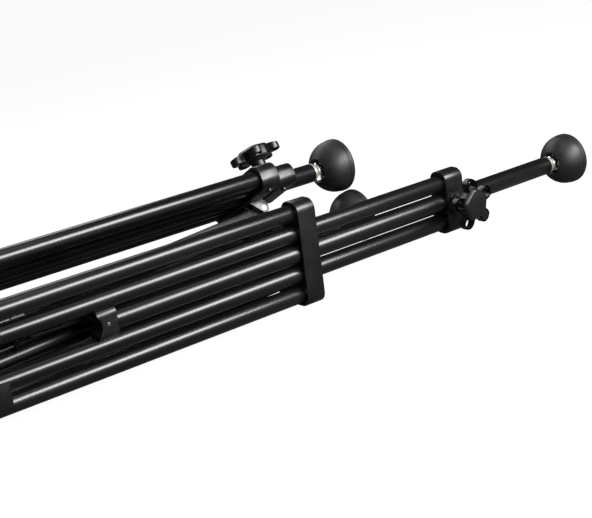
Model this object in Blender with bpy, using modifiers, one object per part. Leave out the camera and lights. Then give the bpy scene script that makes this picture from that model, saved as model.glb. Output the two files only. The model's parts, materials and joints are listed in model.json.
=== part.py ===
"""Video tripod with a fluid head, folded and lying on a floor.

Metres, +Z up. +X runs from the head to the feet, and the origin is under the middle of the object, on the floor.
Each leg has two outer upper tubes, two middle tubes between them and one lower tube in the middle, side by side
in one plane. A leg's own frame has its origin on its hinge, x along the leg to the foot, y across its width and
z outwards from the tripod's axis. The head's frame has its origin at the centre of the levelling ball and z up
the tripod's axis.
"""

from math import acos, atan2, cos, degrees, pi, radians, sin, sqrt

import bmesh
import bpy
import numpy as np
from mathutils import Matrix, Vector

GAP = 0.0003  # between pieces that touch or slide
PAST = 0.0010  # how far a cutter, or a piece that is joined on, reaches past the face it meets
LONG = 0.0300  # half length of a cutter that goes right through a piece
SIDES = 16  # facets of a tube
TURNED_STEPS = 20  # facets of a turned piece
SIDES_OF_A_PIN = 10

# The leg tubes.
TUBE_PITCH = 0.0210
UPPER_TUBE_RADIUS = 0.0090
MIDDLE_TUBE_RADIUS = 0.0090
LOWER_TUBE_RADIUS = 0.01005
TUBE_WALL = 0.0015
UPPER_LENGTH = 0.592  # hinge to the head side of the upper collar
MIDDLE_REACH = 0.558  # middle tubes, from the lower collar towards the head
LOWER_REACH = 0.593  # lower tube, from its foot end towards the head
LOWER_STAND_OUT = 0.0444  # lower tube beyond the lower collar, fully pushed in
COLLAR_GAP = 0.0092  # between the two collars of a leg that is fully pushed in

# Collars, bridge, guide and yoke.
COLLAR_SIDE_WALL = 0.0032
UPPER_COLLAR_THICKNESS = 0.0268
UPPER_COLLAR_LENGTH = 0.0222
LOWER_COLLAR_SIDE_WALL = 0.0044
LOWER_COLLAR_THICKNESS = 0.0240
LOWER_COLLAR_LENGTH = 0.0254
COLLAR_ROUNDING = 0.0110
LOWER_COLLAR_ROUNDING = 0.0100
SOCKET_FLOOR = 0.0040
GUIDE_LENGTH = 0.0200
GUIDE_HALF_WIDTH = 0.0170
GUIDE_HALF_THICKNESS = 0.0098
BRIDGE_WEB = 0.0145
BRIDGE_THICKNESS = 0.0230
BRIDGE_NOTCH_FLOOR = 0.0018  # room behind the guide in the bridge's notch
BRIDGE_NOTCH_SIDE = 0.0012  # room on each side of the guide in the notch
BRIDGE_STEP = 0.0040  # from the guide's front back to the bridge's front
BRIDGE_SADDLE_SHORT = 0.0020  # the saddles stop this far short of the upper tubes' middles
YOKE_LENGTH = 0.0440
YOKE_START = 0.0160
YOKE_NECK = (-0.0095, 0.0110)  # heights over the hinge line
YOKE_NECK_OVERLAP = 0.0030
YOKE_WINDOW_START = 0.0120
YOKE_WINDOW_HALF_WIDTH = 0.0240

# Hinges and the fold.
HINGE_RADIUS = 0.0520  # tripod axis to hinge axis
TUBE_PLANE_RADIUS = 0.0575  # tripod axis to tube plane, legs parallel
AXLE_RADIUS = 0.0050
AXLE_HEAD_RADIUS = 0.0080
AXLE_HEAD_LENGTH = 0.0040
BOSS_RADIUS = 0.0120
BOSS_HALF_WIDTH = 0.0200
EAR_RADIUS = 0.0125
EAR_THICKNESS = 0.0100
EAR_GAP = 0.0006
LEG_AZIMUTHS = (0, 120, 240)  # from the front (-Y) over the top
LEG_FOLDS = (0, 0, -4.25)  # degrees outwards from parallel: the third leg is pressed in between the others
MIDDLE_EXTENSIONS = (0.1738, 0, 0)
LOWER_EXTENSIONS = (0.1030, 0, 0)

# Lock knobs.
KNOB_LOBES = 5
KNOB_RADIUS = 0.0285
KNOB_WAIST = 0.0205
KNOB_PLATE = (0.0310, 0.0410)  # heights over the tube plane
KNOB_CAP_HEIGHT = 0.0030
KNOB_CAP_RADIUS = 0.0150
KNOB_CAP_CHAMFER = 0.0020
KNOB_CONE = 0.0040  # height of the cone under the plate
KNOB_HOLE_RADIUS = 0.0042
KNOB_HOLE_PLACE = 0.02225  # hole centres from the knob's axis
KNOB_HOLE_SIDES = 8
KNOB_NECK_RADIUS = 0.0075
KNOB_STUD_RADIUS = 0.0040
KNOB_BOSS_RADIUS = 0.0095
KNOB_BOSS_HEIGHT = 0.0065

# Feet.
FOOT_RADIUS = 0.0288
FOOT_EQUATOR = 0.0339  # tube end to the widest ring of the dome
FOOT_SOLE = 0.0060
FOOT_DOME_HEIGHT = 0.0240
FOOT_MOUTH_RADIUS = 0.0135
FOOT_MOUTH_DEPTH = 0.0100
FOOT_RIM_STEP = 0.0012
FOOT_RIM_START = 0.0008
FOOT_SOLE_CHAMFER = 0.0015
FOOT_BORE_SPARE = 0.0010  # room past the spindle's tip
SPIKE_FLANGE_RADIUS = 0.0098
SPIKE_FLANGE_LENGTH = 0.0020
SPIKE_RADIUS = 0.0060
SPIKE_LENGTH = 0.0310
SPIKE_TIP = (0.6, 0.0025)  # its radius as a share of the spindle's, and its length
SPIKE_FILLET = (0.0015, 0.0020)
PLUG_LENGTH = 0.0200  # of the spindle and of the guide, in the lower tube

# Mid-level spreader.
LUG_PIVOT_X = 0.0210  # beyond the head side of the upper collar
LUG_PIVOT_DEPTH = 0.0220  # inwards from the tube plane
LUG_START_X = 0.0090
LUG_END_RADIUS = 0.0055
LUG_EAR = (0.0035, 0.0085)
SPREADER_PIN_RADIUS = 0.0025
ARM_LENGTH = 0.300
ARM_HALF_WIDTH = 0.0050
ARM_HALF_DEPTH = 0.0040
ARM_EYE_HALF_WIDTH = 0.0030
ARM_FORK_HALF_GAP = 0.0020
ARM_FORK_LENGTH = 0.0300
ARM_CLAMP = (0.195, 0.232)
ARM_CLAMP_HALF_WIDTH = 0.0088
ARM_CLAMP_HALF_DEPTH = 0.0065
ARM_CLAMP_ROUNDING = 0.0030
ARM_SHOULDER_X = 0.0160  # where the eye's tongue ends and the full bar begins
HUB_PIVOT_RADIUS = 0.0170
HUB_TAB_HALF_THICKNESS = 0.0015
HUB_TAB_HALF_LENGTH = 0.0070
HUB_CORE_RADIUS = 0.0042
HUB_CORE_STAND_OUT = 0.0030
HUB_TAB_SHORT = 0.0005  # the tabs end this far inside the arms' rounded tips

# Shoulder and bowl, from the ball's centre. Heights are up the tripod's axis.
BOWL_RADIUS = 0.0375
BALL_GAP = 0.0008  # room for the facets of the ball and the bowl
BOWL_WALL = 0.0060
BOWL_OPENING = 0.0190
BALL_TO_HINGE = 0.0580
SHOULDER_RIM_RADIUS = 0.0500
SHOULDER_DISC_RADIUS = 0.0660
SHOULDER_DISC = (-0.0440, -0.0340)
SKIRT_INNER_RADIUS = 0.0390
SHOULDER_EDGE = 0.0020  # its broken edges
SHOULDER_FLARE = (0.0030, 0.0100)  # how the wall widens above the disc, and how high that starts
EAR_ROOT = 0.0040  # how far an ear reaches up into the disc
SHOULDER_STEPS = 24

# Head.
BALL_FLANGE = (0.0055, 0.0120)
BALL_FLANGE_RADIUS = 0.0430
BALL_FLANGE_EDGE = 0.0010
BALL_FLOOR = -0.0300
CLAMP_STUD_RADIUS = 0.0060
CLAMP_STUD_END = -0.0780
CLAMP_CUP_RADIUS = 0.0300
CLAMP_CUP_SKIRT = 0.0070
CLAMP_NECK_RADIUS = 0.0120
CLAMP_NECK_LENGTH = 0.0060  # from the grip up to the cup's cone
CLAMP_NECK_ROOT = 0.0020
CLAMP_LOBES = 6
CLAMP_GRIP = (-0.0870, -0.0620)
CLAMP_GRIP_RADIUS = 0.0230
CLAMP_GRIP_WAIST = 0.0185
PAN_SPIGOT_RADIUS = 0.0120
PAN_SPIGOT_HEIGHT = 0.0180
PAN_DRUM_RADIUS = 0.0400
PAN_DRUM_TOP = 0.0440
PAN_DRUM_CHAMFER = 0.0030
PAN_GROOVE = (0.0060, 0.0010, 0.0030, 0.0015)  # height over the drum's foot, slope, width between slopes, depth
PAN_DRUM_STEPS = 32
PAN_NECK = (0.0200, 0.0260)  # half sizes fore and aft, and across
PAN_NECK_ROUNDING = 0.0050
CROSS_DRUM_SIDES = 28
PAN_REST_TURN = 150  # degrees: the rear of the head looks up from the floor
TILT_HEIGHT = 0.0900
TILT_DRUM_RADIUS = 0.0250
TILT_DRUM_HALF_WIDTH = 0.0300
TILT_SPIGOT_RADIUS = 0.0080
TILT_SPIGOT_LENGTH = 0.0080
CHEEK_RADIUS = 0.0270
CHEEK_THICKNESS = 0.0115
CHEEK_GAP = 0.0005
PLATFORM_HALF_LENGTH = 0.0450
CHEEK_WEB = 0.0240  # half length of the web from a cheek up to the platform
PLATFORM = (0.0280, 0.0380)  # heights over the tilt axis
PLATFORM_ROUNDING = 0.0060
RAIL_HEIGHT = 0.0068
RAIL_OUTER = 0.0300
RAIL_LIP = (0.0206, 0.0024)  # half opening, and thickness
PLATE_HALF_LENGTH = 0.0400
PLATE_FLANGE_HALF_WIDTH = 0.0238
PLATE_FLANGE_THICKNESS = 0.0036
PLATE_HALF_WIDTH = 0.0200
PLATE_THICKNESS = 0.0120
PLATE_SIDE_ROOM = 0.0005
PLATE_LIFT = 0.0004  # over the platform
SCREW_RADIUS = 0.00318
SCREW_HEAD_RADIUS = 0.0080
SCREW_HEAD_THICKNESS = 0.0030
SCREW_STAND_OUT = 0.0055
SCREW_X = 0.0050

# Levers, pan bar and level.
LEVER_HALF_WIDTH = 0.0040
LEVER_THICKNESS = 0.0060
LEVER_PIN_RADIUS = 0.0030
PAN_LEVER_HEIGHT = 0.0280
PAN_LEVER_REACH = 0.0300
TILT_LEVER_REACH = 0.0340
PAN_PIN_LENGTH = 0.0100
TILT_PIN_LENGTH = 0.0025
PLATE_PIN_LENGTH = 0.0050
LEVER_ROUNDING = 0.0020
PLATE_LEVER_REACH = 0.0260
PLATE_LEVER_X = 0.0150
PLATE_LEVER_HEIGHT = 0.0330
LEVER_BOSS_RADIUS = 0.0070
LEVER_BOSS_LENGTH = 0.0090
ROSETTE_X = -0.0340
ROSETTE_HEIGHT = 0.0150
ROSETTE_RADIUS = 0.0130
ROSETTE_STAND_OUT = 0.0020
BRACKET_END_X = -0.0100
BAR_RADIUS = 0.0075
BAR_EYE_THICKNESS = 2 * BAR_RADIUS + 0.0015
BAR_START = 0.0090
BAR_LENGTH = 0.340
BAR_DROOP = 20  # degrees below the horizontal, behind the head
GRIP_START = 0.2320
GRIP_END = 0.3520
GRIP_RADIUS = 0.0145
GRIP_EDGE = 0.0035
BAR_KNOB_RADIUS = 0.0160
BAR_KNOB_WAIST = 0.0125
BAR_KNOB_THICKNESS = 0.0150
BAR_STUD_RADIUS = 0.0040
LEVEL_RADIUS = 0.0065
LEVEL_HEIGHT = 0.0040
LEVEL_X = 0.0310

# Worked out from the sizes above.
BOTH_SIDES = (-1, 1)
TUBE_PLANE_Z = TUBE_PLANE_RADIUS - HINGE_RADIUS
UPPER_TUBE_Y = 2 * TUBE_PITCH
MIDDLE_TUBE_Y = TUBE_PITCH
UPPER_HALF_WIDTH = UPPER_TUBE_Y + UPPER_TUBE_RADIUS + COLLAR_SIDE_WALL
LOWER_HALF_WIDTH = MIDDLE_TUBE_Y + MIDDLE_TUBE_RADIUS + LOWER_COLLAR_SIDE_WALL
MIDDLE_START_X = UPPER_LENGTH + UPPER_COLLAR_LENGTH + COLLAR_GAP
LOWER_START_X = LOWER_COLLAR_LENGTH + LOWER_STAND_OUT
GUIDE_FRONT_X = LOWER_START_X - LOWER_REACH - GAP
BRIDGE_FRONT_X = GUIDE_FRONT_X - BRIDGE_STEP
NOTCH_X = GUIDE_FRONT_X - GUIDE_LENGTH - BRIDGE_NOTCH_FLOOR
EAR_INNER = BOSS_HALF_WIDTH + EAR_GAP
EAR_OUTER = EAR_INNER + EAR_THICKNESS
CHEEK_INNER = TILT_DRUM_HALF_WIDTH + CHEEK_GAP
CHEEK_OUTER = CHEEK_INNER + CHEEK_THICKNESS
BALL_X = -UPPER_LENGTH - BALL_TO_HINGE  # with x = 0 at the head side of the upper collars


# ---------------------------------------------------------------- tools


def mesh_of(obj):
    """The object's shape with its modifiers applied, as a mesh of its own; the object is removed."""
    bpy.context.view_layer.update()
    graph = bpy.context.evaluated_depsgraph_get()
    mesh = bpy.data.meshes.new_from_object(obj.evaluated_get(graph))
    bpy.data.objects.remove(obj)
    return mesh


def bench_object(mesh):
    obj = bpy.data.objects.new("on_the_bench", mesh)
    bench.objects.link(obj)
    return obj


def mesh_from(shape):
    mesh = bpy.data.meshes.new("shape")
    bmesh.ops.recalc_face_normals(shape, faces=shape.faces)
    shape.to_mesh(mesh)
    shape.free()
    return mesh


def block(low, high, rounding=0.0, along="x", segments=2):
    """A box between two corners. The four edges that run along the given axis may be rounded."""
    shape = bmesh.new()
    bmesh.ops.create_cube(shape, size=1)
    for vert in shape.verts:
        vert.co = Vector([lo + (hi - lo) * (c + 0.5) for lo, hi, c in zip(low, high, vert.co)])
    if rounding:
        axis = "xyz".index(along)
        edges = [e for e in shape.edges if abs((e.verts[0].co - e.verts[1].co).normalized()[axis]) > 0.99]
        bmesh.ops.bevel(shape, geom=edges, offset=rounding, segments=segments, profile=0.5, affect="EDGES")
    return mesh_from(shape)


def rod(radius, start, end, axis="x", centre=(0, 0), sides=SIDES):
    """A round bar along an axis; centre is its place on the other two axes, in their order."""
    shape = bmesh.new()
    bmesh.ops.create_cone(
        shape,
        cap_ends=True,
        segments=sides,
        radius1=radius,
        radius2=radius,
        depth=end - start,
        matrix=Matrix.Translation((0, 0, (start + end) / 2)),
    )
    a, b = centre
    turn, place = {
        "x": (Matrix.Rotation(pi / 2, 4, "Y"), (0, a, b)),
        "y": (Matrix.Rotation(-pi / 2, 4, "X"), (a, 0, b)),
        "z": (Matrix.Identity(4), (a, b, 0)),
    }[axis]
    bmesh.ops.transform(shape, matrix=Matrix.Translation(place) @ turn, verts=shape.verts)
    return mesh_from(shape)


def turned(profile, closed=False, steps=TURNED_STEPS):
    """A profile of (radius, height) points, from the top down its outer side, turned around z."""
    shape = bmesh.new()
    verts = [shape.verts.new((radius, 0, height)) for radius, height in profile]
    ends = verts[1:] + verts[:1] if closed else verts[1:]
    for first, second in zip(verts, ends):
        shape.edges.new((first, second))
    mesh = bpy.data.meshes.new("profile")
    shape.to_mesh(mesh)
    shape.free()
    obj = bench_object(mesh)
    screw = obj.modifiers.new("turn", "SCREW")
    screw.steps = screw.render_steps = steps
    screw.use_merge_vertices = True
    screw.merge_threshold = 1e-6
    result = bmesh.new()
    result.from_mesh(mesh_of(obj))
    return mesh_from(result)


def star(radius, waist, low, high, lobes=KNOB_LOBES, points_a_lobe=7):
    """A lobed plate: its edge swings between the waist and the full radius."""
    shape = bmesh.new()
    count = lobes * points_a_lobe
    ring = []
    for i in range(count):
        angle = 2 * pi * i / count
        reach = waist + (radius - waist) * (0.5 + 0.5 * cos(lobes * angle)) ** 0.8
        ring.append(shape.verts.new((reach * cos(angle), reach * sin(angle), low)))
    face = shape.faces.new(ring)
    lifted = bmesh.ops.extrude_face_region(shape, geom=[face])["geom"]
    for vert in (v for v in lifted if isinstance(v, bmesh.types.BMVert)):
        vert.co.z = high
    return mesh_from(shape)


def moved(mesh, matrix):
    mesh.transform(matrix)
    return mesh


def combine(base, others, operation):
    obj = bench_object(base)
    helpers = [bench_object(other) for other in others]
    for helper in helpers:
        boolean = obj.modifiers.new(operation.lower(), "BOOLEAN")
        boolean.operation = operation
        boolean.object = helper
    mesh = mesh_of(obj)
    for helper in helpers:
        bpy.data.objects.remove(helper)
    return mesh


def fused(base, *others):
    return combine(base, others, "UNION")


def carved(base, *others):
    return combine(base, others, "DIFFERENCE")


def arc(radius, start, end, points, centre=(0, 0)):
    """Points on a circle between two angles in degrees."""
    angles = [radians(start + (end - start) * i / (points - 1)) for i in range(points)]
    return [(centre[0] + radius * cos(a), centre[1] + radius * sin(a)) for a in angles]


def finish(name, colour, roughness, metallic):
    material = bpy.data.materials.new(name)
    material.use_nodes = True
    shader = material.node_tree.nodes["Principled BSDF"]
    shader.inputs["Base Color"].default_value = (*colour, 1)
    shader.inputs["Roughness"].default_value = roughness
    shader.inputs["Metallic"].default_value = metallic
    return material


def part(name, mesh, material, parent, location=(0, 0, 0), rotation=(0, 0, 0)):
    """A named piece of the tripod. Legs share a mesh, so the material belongs to the object."""
    mesh.name = name.split("_", 2)[-1] if name.startswith("leg_") else name
    mesh.shade_smooth()
    mesh.set_sharp_from_angle(angle=radians(32))
    obj = bpy.data.objects.new(name, mesh)
    pieces.objects.link(obj)
    obj.parent = parent
    obj.location = location
    obj.rotation_euler = rotation
    if not mesh.materials:
        mesh.materials.append(None)
    obj.material_slots[0].link = "OBJECT"
    obj.material_slots[0].material = material
    return obj


def frame(name, parent, location=(0, 0, 0), rotation=(0, 0, 0)):
    """An empty on a joint's axis, which carries the pieces that move together."""
    obj = bpy.data.objects.new(name, None)
    obj.empty_display_size = LONG
    pieces.objects.link(obj)
    obj.parent = parent
    obj.location = location
    obj.rotation_euler = rotation
    return obj


# ---------------------------------------------------------------- legs


def tube(radius, start, end, y=0.0):
    bore = rod(radius - TUBE_WALL, start - PAST, end + PAST, centre=(y, 0))
    return carved(rod(radius, start, end, centre=(y, 0)), bore)


def yoke_mesh():
    """Holds the two upper tubes and turns on the hinge axle."""
    z = TUBE_PLANE_Z
    half = UPPER_COLLAR_THICKNESS / 2
    end = YOKE_START + YOKE_LENGTH
    body = block((YOKE_START, -UPPER_HALF_WIDTH, z - half), (end, UPPER_HALF_WIDTH, z + half), COLLAR_ROUNDING)
    neck_low, neck_high = YOKE_NECK
    neck = block(
        (0, -BOSS_HALF_WIDTH, neck_low),
        (YOKE_START + YOKE_NECK_OVERLAP, BOSS_HALF_WIDTH, neck_high),
    )
    boss = rod(BOSS_RADIUS, -BOSS_HALF_WIDTH, BOSS_HALF_WIDTH, "y")
    bore = UPPER_TUBE_RADIUS + GAP
    floor = YOKE_START + SOCKET_FLOOR
    sockets = [rod(bore, floor, end + PAST, centre=(side * UPPER_TUBE_Y, z)) for side in BOTH_SIDES]
    axle_hole = rod(AXLE_RADIUS + GAP, -LONG, LONG, "y", sides=SIDES_OF_A_PIN)
    # A window between the tubes lightens the casting.
    half_window = YOKE_WINDOW_HALF_WIDTH
    window = block(
        (YOKE_START + YOKE_WINDOW_START, -half_window, z - LONG),
        (end + PAST, half_window, z + LONG),
    )
    return carved(fused(body, neck, boss), *sockets, axle_hole, window)


def upper_collar_mesh():
    """Clamps the upper tubes' ends and guides the middle tubes; the guide passes through its middle."""
    half = UPPER_COLLAR_THICKNESS / 2
    length = UPPER_COLLAR_LENGTH
    body = block((0, -UPPER_HALF_WIDTH, -half), (length, UPPER_HALF_WIDTH, half), COLLAR_ROUNDING)
    pivot = (LUG_PIVOT_X, -LUG_PIVOT_DEPTH)
    ears = []
    for side in BOTH_SIDES:
        low, high = sorted(side * y for y in LUG_EAR)
        ears.append(block((LUG_START_X, low, -LUG_PIVOT_DEPTH), (LUG_PIVOT_X + LUG_END_RADIUS, high, PAST - half)))
        ears.append(rod(LUG_END_RADIUS, low, high, "y", pivot))
    sockets = []
    for side in BOTH_SIDES:
        sockets.append(rod(UPPER_TUBE_RADIUS + GAP, -PAST, length - SOCKET_FLOOR, centre=(side * UPPER_TUBE_Y, 0)))
        sockets.append(rod(MIDDLE_TUBE_RADIUS + GAP, -PAST, length + PAST, centre=(side * MIDDLE_TUBE_Y, 0)))
    slot_half = LOWER_TUBE_RADIUS + 2 * GAP
    slot = block((-PAST, -GUIDE_HALF_WIDTH - GAP, -slot_half), (length + PAST, GUIDE_HALF_WIDTH + GAP, slot_half))
    pin_hole = rod(SPREADER_PIN_RADIUS, -LONG, LONG, "y", pivot, sides=SIDES_OF_A_PIN)
    return carved(fused(body, *ears), *sockets, slot, pin_hole)


def bridge_mesh():
    """Joins the head ends of the middle tubes and slides along the upper tubes, with a notch for the guide."""
    half = BRIDGE_THICKNESS / 2
    start = NOTCH_X - BRIDGE_WEB
    front = BRIDGE_FRONT_X + PAST
    reach = UPPER_TUBE_Y - BRIDGE_SADDLE_SHORT
    body = block((start, -reach, -half), (BRIDGE_FRONT_X, reach, half))
    notch_half = GUIDE_HALF_WIDTH + BRIDGE_NOTCH_SIDE
    notch = block((NOTCH_X, -notch_half, -LONG), (front, notch_half, LONG))
    cuts = []
    for side in BOTH_SIDES:
        cuts.append(rod(UPPER_TUBE_RADIUS + GAP, start - PAST, front, centre=(side * UPPER_TUBE_Y, 0)))
        cuts.append(rod(MIDDLE_TUBE_RADIUS + GAP, -MIDDLE_REACH - GAP, front, centre=(side * MIDDLE_TUBE_Y, 0)))
    return carved(body, notch, *cuts)


def lower_collar_mesh():
    """Clamps the middle tubes' ends and lets the lower tube slide; the knob's stud presses on that tube."""
    half = LOWER_COLLAR_THICKNESS / 2
    length = LOWER_COLLAR_LENGTH
    body = block((0, -LOWER_HALF_WIDTH, -half), (length, LOWER_HALF_WIDTH, half), LOWER_COLLAR_ROUNDING)
    boss = rod(KNOB_BOSS_RADIUS, half - PAST, half + KNOB_BOSS_HEIGHT, "z", (length / 2, 0))
    bore = MIDDLE_TUBE_RADIUS + GAP
    sockets = [rod(bore, -PAST, length - SOCKET_FLOOR, centre=(side * MIDDLE_TUBE_Y, 0)) for side in BOTH_SIDES]
    passage = rod(LOWER_TUBE_RADIUS + GAP, -PAST, length + PAST)
    stud_hole = rod(KNOB_STUD_RADIUS + GAP, 0, LONG, "z", (length / 2, 0), sides=SIDES_OF_A_PIN)
    return carved(fused(body, boss), *sockets, passage, stud_hole)


def lock_knob_mesh():
    low, high = KNOB_PLATE
    top = high + KNOB_CAP_HEIGHT
    base = LOWER_COLLAR_THICKNESS / 2 + KNOB_BOSS_HEIGHT + GAP
    stem = turned(
        [
            (0, top),
            (KNOB_CAP_RADIUS - KNOB_CAP_CHAMFER, top),
            (KNOB_CAP_RADIUS, high),
            (KNOB_CAP_RADIUS, low - PAST),
            (KNOB_NECK_RADIUS, low - KNOB_CONE),
            (KNOB_NECK_RADIUS, base),
            (KNOB_STUD_RADIUS, base),
            (KNOB_STUD_RADIUS, LOWER_TUBE_RADIUS + GAP),
            (0, LOWER_TUBE_RADIUS + GAP),
        ],
        steps=SIDES,
    )
    lobes = star(KNOB_RADIUS, KNOB_WAIST, low, high)
    place = KNOB_HOLE_PLACE
    holes = []
    for i in range(KNOB_LOBES):
        angle = 2 * pi * i / KNOB_LOBES
        centre = (place * cos(angle), place * sin(angle))
        holes.append(rod(KNOB_HOLE_RADIUS, low - PAST, high + PAST, "z", centre, sides=KNOB_HOLE_SIDES))
    return fused(carved(lobes, *holes), stem)


def guide_mesh():
    """Slides between the middle tubes and plugs the head end of the lower tube."""
    front = -LOWER_REACH - GAP
    start = front - GUIDE_LENGTH
    body = block((start, -GUIDE_HALF_WIDTH, -GUIDE_HALF_THICKNESS), (front, GUIDE_HALF_WIDTH, GUIDE_HALF_THICKNESS))
    bore = MIDDLE_TUBE_RADIUS + GAP
    saddles = [rod(bore, start - PAST, front + PAST, centre=(side * MIDDLE_TUBE_Y, 0)) for side in BOTH_SIDES]
    plug = rod(LOWER_TUBE_RADIUS - TUBE_WALL - GAP, front - GUIDE_LENGTH / 4, front + PLUG_LENGTH)
    return fused(carved(body, *saddles), plug)


def spike_mesh():
    """The threaded foot spindle with its flange and the plug that holds it in the lower tube."""
    plug = LOWER_TUBE_RADIUS - TUBE_WALL - GAP
    flange_end = GAP + SPIKE_FLANGE_LENGTH
    return turned(
        [
            (0, SPIKE_LENGTH),
            (SPIKE_RADIUS * SPIKE_TIP[0], SPIKE_LENGTH),
            (SPIKE_RADIUS, SPIKE_LENGTH - SPIKE_TIP[1]),
            (SPIKE_RADIUS, flange_end + SPIKE_FILLET[1]),
            (SPIKE_RADIUS + SPIKE_FILLET[0], flange_end),
            (SPIKE_FLANGE_RADIUS, flange_end),
            (SPIKE_FLANGE_RADIUS, GAP),
            (plug, GAP),
            (plug, -PLUG_LENGTH),
            (0, -PLUG_LENGTH),
        ]
    )


def foot_pad_mesh():
    """A rubber dome with a flat sole. Its mouth faces the tube and takes the spindle; heights are from its widest
    ring towards the ground."""
    bore = SPIKE_RADIUS + 2 * GAP
    bore_end = SPIKE_LENGTH - FOOT_EQUATOR + FOOT_BORE_SPARE
    mouth_angle = degrees(acos(FOOT_MOUTH_RADIUS / FOOT_RADIUS))
    dome = [
        (radius, -height * FOOT_DOME_HEIGHT / (FOOT_RADIUS * sin(radians(mouth_angle))))
        for radius, height in arc(FOOT_RADIUS - FOOT_RIM_STEP, 0, mouth_angle, 6)
    ]
    dome[-1] = (FOOT_MOUTH_RADIUS, -FOOT_DOME_HEIGHT)
    return turned(
        [
            (0, FOOT_SOLE),
            (FOOT_RADIUS - FOOT_SOLE_CHAMFER, FOOT_SOLE),
            (FOOT_RADIUS, FOOT_SOLE - FOOT_SOLE_CHAMFER),
            (FOOT_RADIUS, FOOT_RIM_START),
            *dome,
            (bore, FOOT_MOUTH_DEPTH - FOOT_DOME_HEIGHT),
            (bore, bore_end),
            (0, bore_end),
        ]
    )


def arm_mesh():
    """A spreader arm from its eye in the collar's lug to the fork that straddles the hub's tab."""
    eye = rod(LUG_END_RADIUS, -ARM_EYE_HALF_WIDTH, ARM_EYE_HALF_WIDTH, "y")
    tongue = block(
        (0, -ARM_EYE_HALF_WIDTH, -ARM_HALF_DEPTH),
        (ARM_SHOULDER_X + PAST, ARM_EYE_HALF_WIDTH, ARM_HALF_DEPTH),
    )
    bar = block((ARM_SHOULDER_X, -ARM_HALF_WIDTH, -ARM_HALF_DEPTH), (ARM_LENGTH, ARM_HALF_WIDTH, ARM_HALF_DEPTH))
    tip = rod(ARM_HALF_DEPTH, -ARM_HALF_WIDTH, ARM_HALF_WIDTH, "y", (ARM_LENGTH, 0))
    clamp = block(
        (ARM_CLAMP[0], -ARM_CLAMP_HALF_WIDTH, -ARM_CLAMP_HALF_DEPTH),
        (ARM_CLAMP[1], ARM_CLAMP_HALF_WIDTH, ARM_CLAMP_HALF_DEPTH),
        ARM_CLAMP_ROUNDING,
    )
    gap = block(
        (ARM_LENGTH - ARM_FORK_LENGTH, -ARM_FORK_HALF_GAP, -LONG),
        (ARM_LENGTH + LONG, ARM_FORK_HALF_GAP, LONG),
    )
    eye_hole = rod(SPREADER_PIN_RADIUS, -LONG, LONG, "y", sides=SIDES_OF_A_PIN)
    return carved(fused(bar, tongue, eye, tip, clamp), gap, eye_hole)


def axle_mesh():
    end = EAR_OUTER + GAP
    shaft = rod(AXLE_RADIUS, -end - AXLE_HEAD_LENGTH, end + PAST, "y", sides=SIDES_OF_A_PIN)
    head = rod(AXLE_HEAD_RADIUS, end, end + AXLE_HEAD_LENGTH, "y")
    return fused(shaft, head)


def arm_angle(leg):
    """The turn about the leg's y that points an arm from its lug to the hub's tab."""
    fold = radians(LEG_FOLDS[leg])
    away = UPPER_LENGTH + LUG_PIVOT_X
    out = TUBE_PLANE_Z - LUG_PIVOT_DEPTH
    lug_x = away * cos(fold) - out * sin(fold)
    lug_radius = HINGE_RADIUS + away * sin(fold) + out * cos(fold)
    return atan2(lug_radius - HUB_PIVOT_RADIUS, HUB_X + UPPER_LENGTH - lug_x) + fold


def hub_place():
    drop = TUBE_PLANE_RADIUS - LUG_PIVOT_DEPTH - HUB_PIVOT_RADIUS
    return LUG_PIVOT_X - sqrt(ARM_LENGTH**2 - drop**2)


HUB_X = hub_place()


def make_leg(leg, tripod):
    """One leg with its stages, foot, lock knob and spreader arm."""
    label = f"leg_{leg + 1}"
    meshes = leg_meshes
    turn = radians(90 - LEG_AZIMUTHS[leg])
    hinge = frame(f"{label}_hinge", tripod, (-UPPER_LENGTH, 0, 0), (turn, 0, 0))
    hinge_line = frame(f"{label}_hinge_line", hinge, (0, 0, HINGE_RADIUS))
    part(f"{label}_hinge_axle", meshes["axle"], steel, hinge_line)

    upper = frame(f"{label}_upper", hinge_line, rotation=(0, -radians(LEG_FOLDS[leg]), 0))
    part(f"{label}_yoke", meshes["yoke"], casting, upper)
    on_plane = (0, 0, TUBE_PLANE_Z)
    part(f"{label}_upper_tube_left", meshes["upper_left"], tube_finish, upper, on_plane)
    part(f"{label}_upper_tube_right", meshes["upper_right"], tube_finish, upper, on_plane)
    part(f"{label}_upper_collar", meshes["upper_collar"], casting, upper, (UPPER_LENGTH, 0, TUBE_PLANE_Z))
    pivot = (UPPER_LENGTH + LUG_PIVOT_X, 0, TUBE_PLANE_Z - LUG_PIVOT_DEPTH)
    part(f"{label}_spreader_arm", meshes["arm"], casting, upper, pivot, (0, arm_angle(leg), 0))

    middle = frame(f"{label}_middle", upper, (MIDDLE_START_X + MIDDLE_EXTENSIONS[leg], 0, TUBE_PLANE_Z))
    part(f"{label}_middle_bridge", meshes["bridge"], plastic, middle)
    part(f"{label}_middle_tube_left", meshes["middle_left"], tube_finish, middle)
    part(f"{label}_middle_tube_right", meshes["middle_right"], tube_finish, middle)
    part(f"{label}_lower_collar", meshes["lower_collar"], casting, middle)
    part(f"{label}_lock_knob", meshes["knob"], plastic, middle, (LOWER_COLLAR_LENGTH / 2, 0, 0))

    lower = frame(f"{label}_lower", middle, (LOWER_START_X + LOWER_EXTENSIONS[leg], 0, 0))
    part(f"{label}_lower_tube", meshes["lower_tube"], tube_finish, lower)
    part(f"{label}_lower_guide", meshes["guide"], plastic, lower)
    part(f"{label}_foot_spike", meshes["spike"], steel, lower, rotation=(0, pi / 2, 0))
    part(f"{label}_foot_pad", meshes["pad"], rubber, lower, (FOOT_EQUATOR, 0, 0), (0, pi / 2, 0))


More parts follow.
